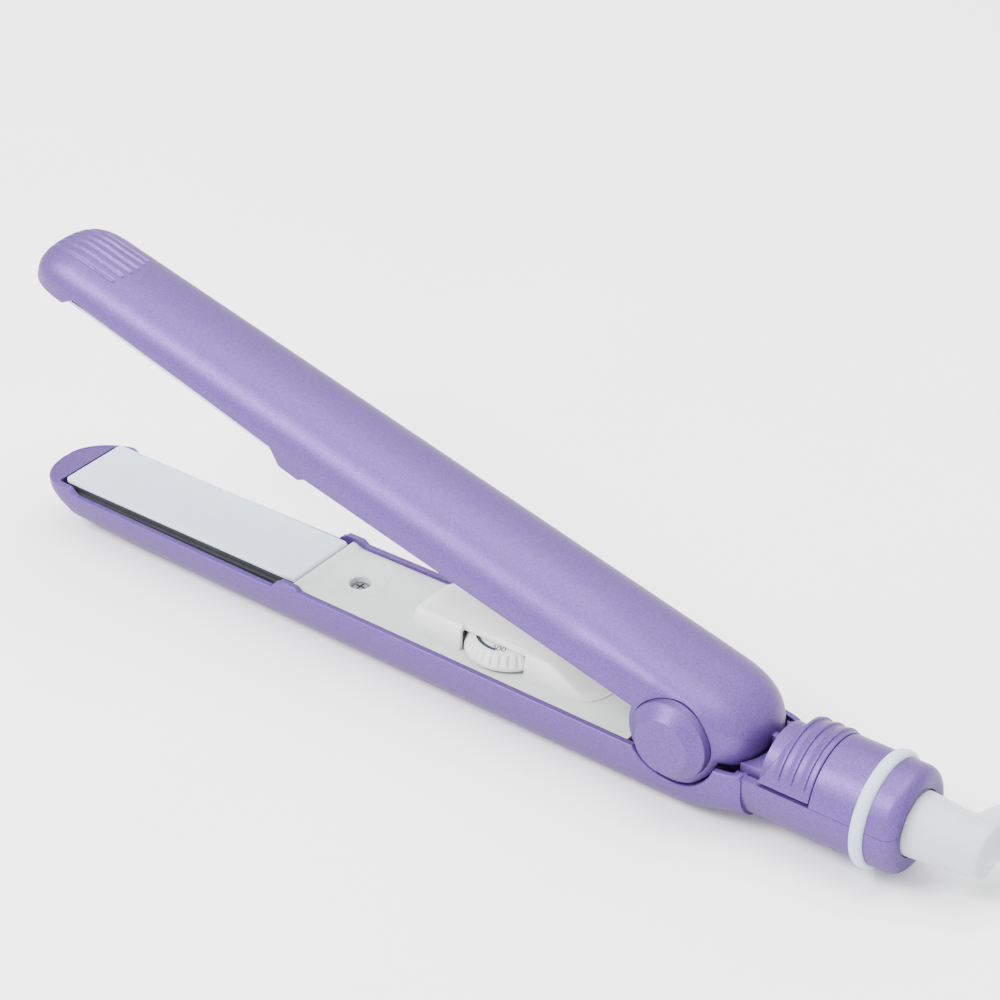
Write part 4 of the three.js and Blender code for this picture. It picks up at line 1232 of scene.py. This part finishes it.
def screw_seat(top, way):
    """Funnel round the cover screw: a rounded edge, a wall and a floor."""
    profile = [(3.2, -0.02), (3.55, 0.0), (3.55, 0.12), (4.1, 0.14), (4.4, 0.0), (4.4, -4.5), (1.7, -4.5),
               (1.7, -2.4), (3.2, -2.4)]
    return lathe_z([(radius, top + way * height) for radius, height in profile], SCREW_X, 0)


def screw_mark():
    """A faint raised line, half round the cover screw."""
    rings = []
    for a in spread(radians(-115), radians(115), 48):
        c, s = cos(a), sin(a)
        section = [(7.0, -0.2), (7.0, 0.02), (7.3, 0.16), (7.6, 0.02), (7.6, -0.2)]
        rings.append([(SCREW_X + r * c, r * s, DECK_Z + z) for r, z in section])
    return loft(rings)


def make_covers():
    """White inner covers: the lower one steps up behind its plate, and the upper one follows its casing."""
    low = [(90.4, -0.9), (91.5, -0.92), (92.2, -1.15), (93.8, -1.85), (94.6, DECK_Z), (100, DECK_Z),
           *[(x, DECK_Z) for x in spread(106, 205, 24)], (207, DECK_Z)]
    lower = solid("cover", cover_strip(low, 0.08))
    screw_hole = lathe_z(rectangle(0.01, 3.9, -12, 4), SCREW_X, 0)
    stem_hole = lathe_z(rectangle(0.01, 4, -12, 4), DIAL_X, 0)
    lug_room = block((HINGE_X - 10.5, -20, -9), (232, 20, 5))
    combine(lower, "DIFFERENCE", screw_hole, stem_hole, lug_room)
    rounded(lower, 0.15, 2, 50)
    join_objects(lower, [solid("seat", screw_seat(DECK_Z, 1)), solid("mark", screw_mark())])
    place(lower, "lower_cover", WHITE, "white_plastic", "lower_arm", ["lower_inner_cover"])
    high = [(91.4, 4.0), (96, 4.0), *[(x, ramp(x, 96, 118, 4.0, 8.6)) for x in spread(98, 118, 6)],
            *[(x, ramp(x, 118, 206, 8.6, 11.2)) for x in spread(126, 206, 12)]]
    upper = solid("cover", cover_strip(high, 0.12))
    combine(upper, "DIFFERENCE", lathe_z(rectangle(0.01, 3.9, -4, 20), SCREW_X, 0))
    rounded(upper, 0.15, 2, 50)
    join_objects(upper, [solid("seat", screw_seat(4.0, -1))])
    place(upper, "upper_cover", WHITE, "white_plastic", "upper_arm", ["upper_inner_cover"], True)


def screw_shape(head_z):
    profile = [(0.01, -7.5), (1.3, -6.8), (1.3, -1.2), (2.7, -1.2), (2.7, -0.45), (2.6, -0.25), (2.2, -0.08),
               (1.6, 0.0), (0.01, 0.02)]
    return lathe_z([(radius, head_z + height) for radius, height in profile], SCREW_X, 0, 64)


def make_screws():
    """Cross-head screws, sunk in the inner covers."""
    for word, head_z, opened in (("lower", DECK_Z - 1.1, False), ("upper", -4.2, True)):
        screw = solid("screw", screw_shape(head_z))
        for long_x, long_y in ((1.5, 0.3), (0.3, 1.5)):
            combine(screw, "DIFFERENCE", block((SCREW_X - long_x, -long_y, head_z - 0.8),
                                                (SCREW_X + long_x, long_y, head_z + 1)))
        if opened:
            screw.data.transform(Matrix.Scale(-1, 4, (0, 0, 1)))
            screw.data.flip_normals()
        rounded(screw, 0.06, 2, 50)
        place(screw, f"{word}_screw", STEEL, "steel", f"{word}_arm", [f"{word}_cover_screw"], opened)


# ---------------------------------------------------------------- temperature dial
def housing_row(x):
    """Section of the dial housing: a rounded roof that falls away at both ends."""
    end_round = 8.6
    share = clamp(min(x - HOUSING_START, HOUSING_END - x) / end_round)
    half = HOUSING_HALF_WIDTH * sqrt(max(1 - (1 - share) ** 2.4, 0.0004))
    rise = max(1 - (1 - clamp((x - HOUSING_START) / 7.5)) ** 1.8, 0.0004) ** 0.6
    fall = 1 - smooth((x - 173) / 20) ** 1.3
    top = DECK_Z + 0.05 + HOUSING_HEIGHT * min(rise, max(fall, 0.01))
    corner = min(1.5, (top - DECK_Z) * 0.8, half * 0.8)
    lean = 0.6 * clamp((top - DECK_Z) / 7)
    ring = [(x, -half, DECK_Z + 0.05), (x, half, DECK_Z + 0.05)]
    return ring + [(x, y, z) for y, z in rounded_top(half - lean, top, corner, 6, 0.25)]


def make_housing():
    """White block over the dial, with a notch on each side for the thumb and two arrow marks on top."""
    stations = [127.02, 127.1, 127.3, *spread(127.6, 136, 24), *spread(138, 172, 20), *spread(173, 184, 16),
                *spread(184.4, 192.2, 20), 192.4, 192.48]
    house = solid("house", loft([housing_row(x) for x in stations]))
    wheel_room = rectangle(0.01, 13.1, -5, DIAL_TOP + 0.5)
    notches = [block((DIAL_X - 10.3, low, -5), (DIAL_X + 11.6, high, 9))
               for low, high in ((-20, -6.9), (6.9, 20))]
    combine(house, "DIFFERENCE", *notches, lathe_z(wheel_room, DIAL_X, 0))
    rounded(house, 0.15, 2, 50)
    marks = []
    for side in (-1, 1):
        foot_x = DIAL_X + side * 1.6
        outline = [(DIAL_X + side * 4.2, 1.2), (foot_x, 2.6), (foot_x, -0.2)]
        rings = [[(x, y, z) for x, y in outline] for z in (5.4, 5.98)]
        marks.append(rounded(solid("mark", loft(rings)), 0.12, 2, 50))
    join_objects(house, marks)
    return place(house, "dial_house", HOUSING, "dial_plastic", "lower_arm", ["dial_housing"])


def make_dial():
    """The thumbwheel: a bevelled rim with ribs round a flat top, and a stem below."""
    rows = [(0.02, -1.1, 0), (12.3, -1.1, 0), (12.6, -0.8, 0), (12.6, 0.1, 0.2), (12.45, 0.5, 1),
            (12.15, 1.0, 1), (11.7, 1.8, 1), (11.25, 2.6, 1), (10.95, 3.05, 0.6), (10.65, 3.25, 0.1),
            (10.4, DIAL_TOP, 0), (0.02, DIAL_TOP, 0)]  # radius, z and how far the ribs reach
    rings = []
    steps = 16 * DIAL_RIBS
    for i in range(steps):
        angle = 2 * pi * i / steps
        depth = 1 - smooth(0.75 + 0.7 * cos(DIAL_RIBS * angle))  # 1 in a valley and 0 on a rib
        ring = []
        for radius, z, ribbed in rows:
            r = radius - 0.55 * depth * ribbed
            ring.append((DIAL_X + r * cos(angle), r * sin(angle), z - 0.3 * depth * ribbed))
        rings.append(ring)
    wheel = solid("wheel", hoop(rings))
    stem = solid("stem", lathe_z(rectangle(1.9, 3.2, -4.9, -1), DIAL_X, 0, 48))
    join_objects(wheel, [stem])
    return place(wheel, "thumb_wheel", HOUSING, "dial_plastic", "dial", ["temperature_dial"])


def dial_print(mark, look, where=TO_ROW):
    """Finishes something printed on the dial."""
    mark.data.transform(where)
    mark.data.materials.clear()
    mark.data.materials.append(look)
    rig.ride(mark, "dial")
    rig.slot(mark, "dial_plastic")


def arc_shape(inner, outer, start, end, low, high):
    rings = []
    for a in spread(radians(start), radians(end), 64):
        section = rectangle(inner, outer, low, high)
        rings.append([(DIAL_X + r * cos(a), r * sin(a), z) for r, z in section])
    return loft(rings)


def number_mesh():
    """A generic temperature as thin letters, with its doubled points welded."""
    curve = bpy.data.curves.new("number", "FONT")
    curve.body = "200°"
    curve.size = 2.9
    curve.align_x = "CENTER"
    curve.align_y = "CENTER"
    curve.extrude = 0.03
    text = put("number", curve)
    graph = bpy.context.evaluated_depsgraph_get()
    mesh = bpy.data.meshes.new_from_object(text.evaluated_get(graph))
    bpy.data.objects.remove(text)
    work = bmesh.new()
    work.from_mesh(mesh)
    bmesh.ops.remove_doubles(work, verts=work.verts, dist=1e-4)
    work.to_mesh(mesh)
    work.free()
    return mesh


def make_dial_print():
    """A thick scale arc, the pale disc inside it and a number with a degree sign."""
    top = DIAL_TOP + 0.02
    dial_print(solid("dial_scale", arc_shape(8.3, 9.4, 145, 281, top - 0.3, top + 0.03)), INK)
    dial_print(solid("dial_face", arc_shape(0.5, 8.0, 0, 359.9, top - 0.3, top)), BEIGE)
    number = put("dial_number", number_mesh())
    turn = Matrix.Rotation(radians(-71), 4, "Z") @ Matrix.Translation((8.2, 0, top + 0.03))
    upright = Matrix.Rotation(radians(90), 4, "Z")
    dial_print(number, INK, TO_ROW @ Matrix.Translation((DIAL_X, 0, 0)) @ turn @ upright)


# ---------------------------------------------------------------- inner parts keep their CAD shape
INNER_LOOKS = {
    "steel": STEEL, "brass": BRASS, "ceramic": CERAMIC, "circuit_laminate": LAMINATE, "dark_plastic": DARK,
    "white_plastic": WHITE, "pearl_paint": PAINT, "plate_coating": PLATE, "dial_plastic": HOUSING,
    "soft_ring": RING, "lead_plastic": LEAD,
}


def dress_cad_nodes():
    """Gives every CAD node the look of its material slot."""
    for row in frame["record"]["subparts"]:
        mesh = frame["nodes"][row["node"]].data
        mesh.materials.clear()
        mesh.materials.append(INNER_LOOKS[row["material_slot"]])


# ---------------------------------------------------------------- studio
def make_floor():
    """A pale sheet that curves up behind the object."""
    rings = []
    for x in spread(-3, 3, 24):
        ring = [(x, y, 0) for y in spread(-3, 1.6, 24)]
        for i in range(1, 17):
            angle = pi / 2 * i / 16
            ring.append((x, 1.6 + 0.8 * sin(angle), 0.8 - 0.8 * cos(angle)))
        ring.append((x, 2.4, 4))
        rings.append(ring)
    points, faces = loft(rings, closed=False, capped=False)
    mesh = bpy.data.meshes.new("studio_floor")
    mesh.from_pydata(points, [], faces)
    mesh.shade_smooth()
    mesh.materials.append(studio_floor())
    floor = put("studio_floor", mesh)
    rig.stage(floor)


def soft_box(name, position, size, power):
    """A square lamp that faces the object."""
    data = bpy.data.lights.new(name, "AREA")
    data.shape = "RECTANGLE"
    data.size = data.size_y = size
    data.energy = power
    light = put(name, data)
    light.location = position
    towards = Vector((0, 0, 0.03)) - Vector(position)
    light.rotation_euler = towards.to_track_quat("-Z", "Y").to_euler()


def make_studio():
    world = bpy.data.worlds.new("studio")
    bpy.context.scene.world = world
    world.use_nodes = True
    back = world.node_tree.nodes["Background"]
    back.inputs["Color"].default_value = (1, 1, 1, 1)
    back.inputs["Strength"].default_value = 1.9
    soft_box("key", (-0.5, -0.9, 1.2), 0.6, 42)
    soft_box("top", (0.1, 0.3, 1.5), 1.2, 34)


make_camera()
relief = make_relief()
elbow = make_elbow()
plug_pieces = make_plug()
tie = make_tie()
lead, lead_path, lead_length = make_lead()
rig.cord(lead, exit=lead_path[0], length=round(lead_length, 3), diameter=CORD_DIAMETER / 1000, far_end="plug",
        stiffness="medium", lay="coiled", path=lead_path, with_pieces=[*plug_pieces, relief, elbow, tie])
make_lower_casing()
make_upper_casing()
make_caps()
make_tail_cover()
make_slider()
make_ring()
make_plates()
make_carriers()
make_covers()
make_screws()
make_housing()
make_dial()
make_dial_print()
dress_cad_nodes()
make_floor()
make_studio()

with open("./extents.json", "w") as size_file:
    json.dump({"cad": [list(p) for p in cad_box], "visual": [list(p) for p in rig.bounds()]}, size_file)
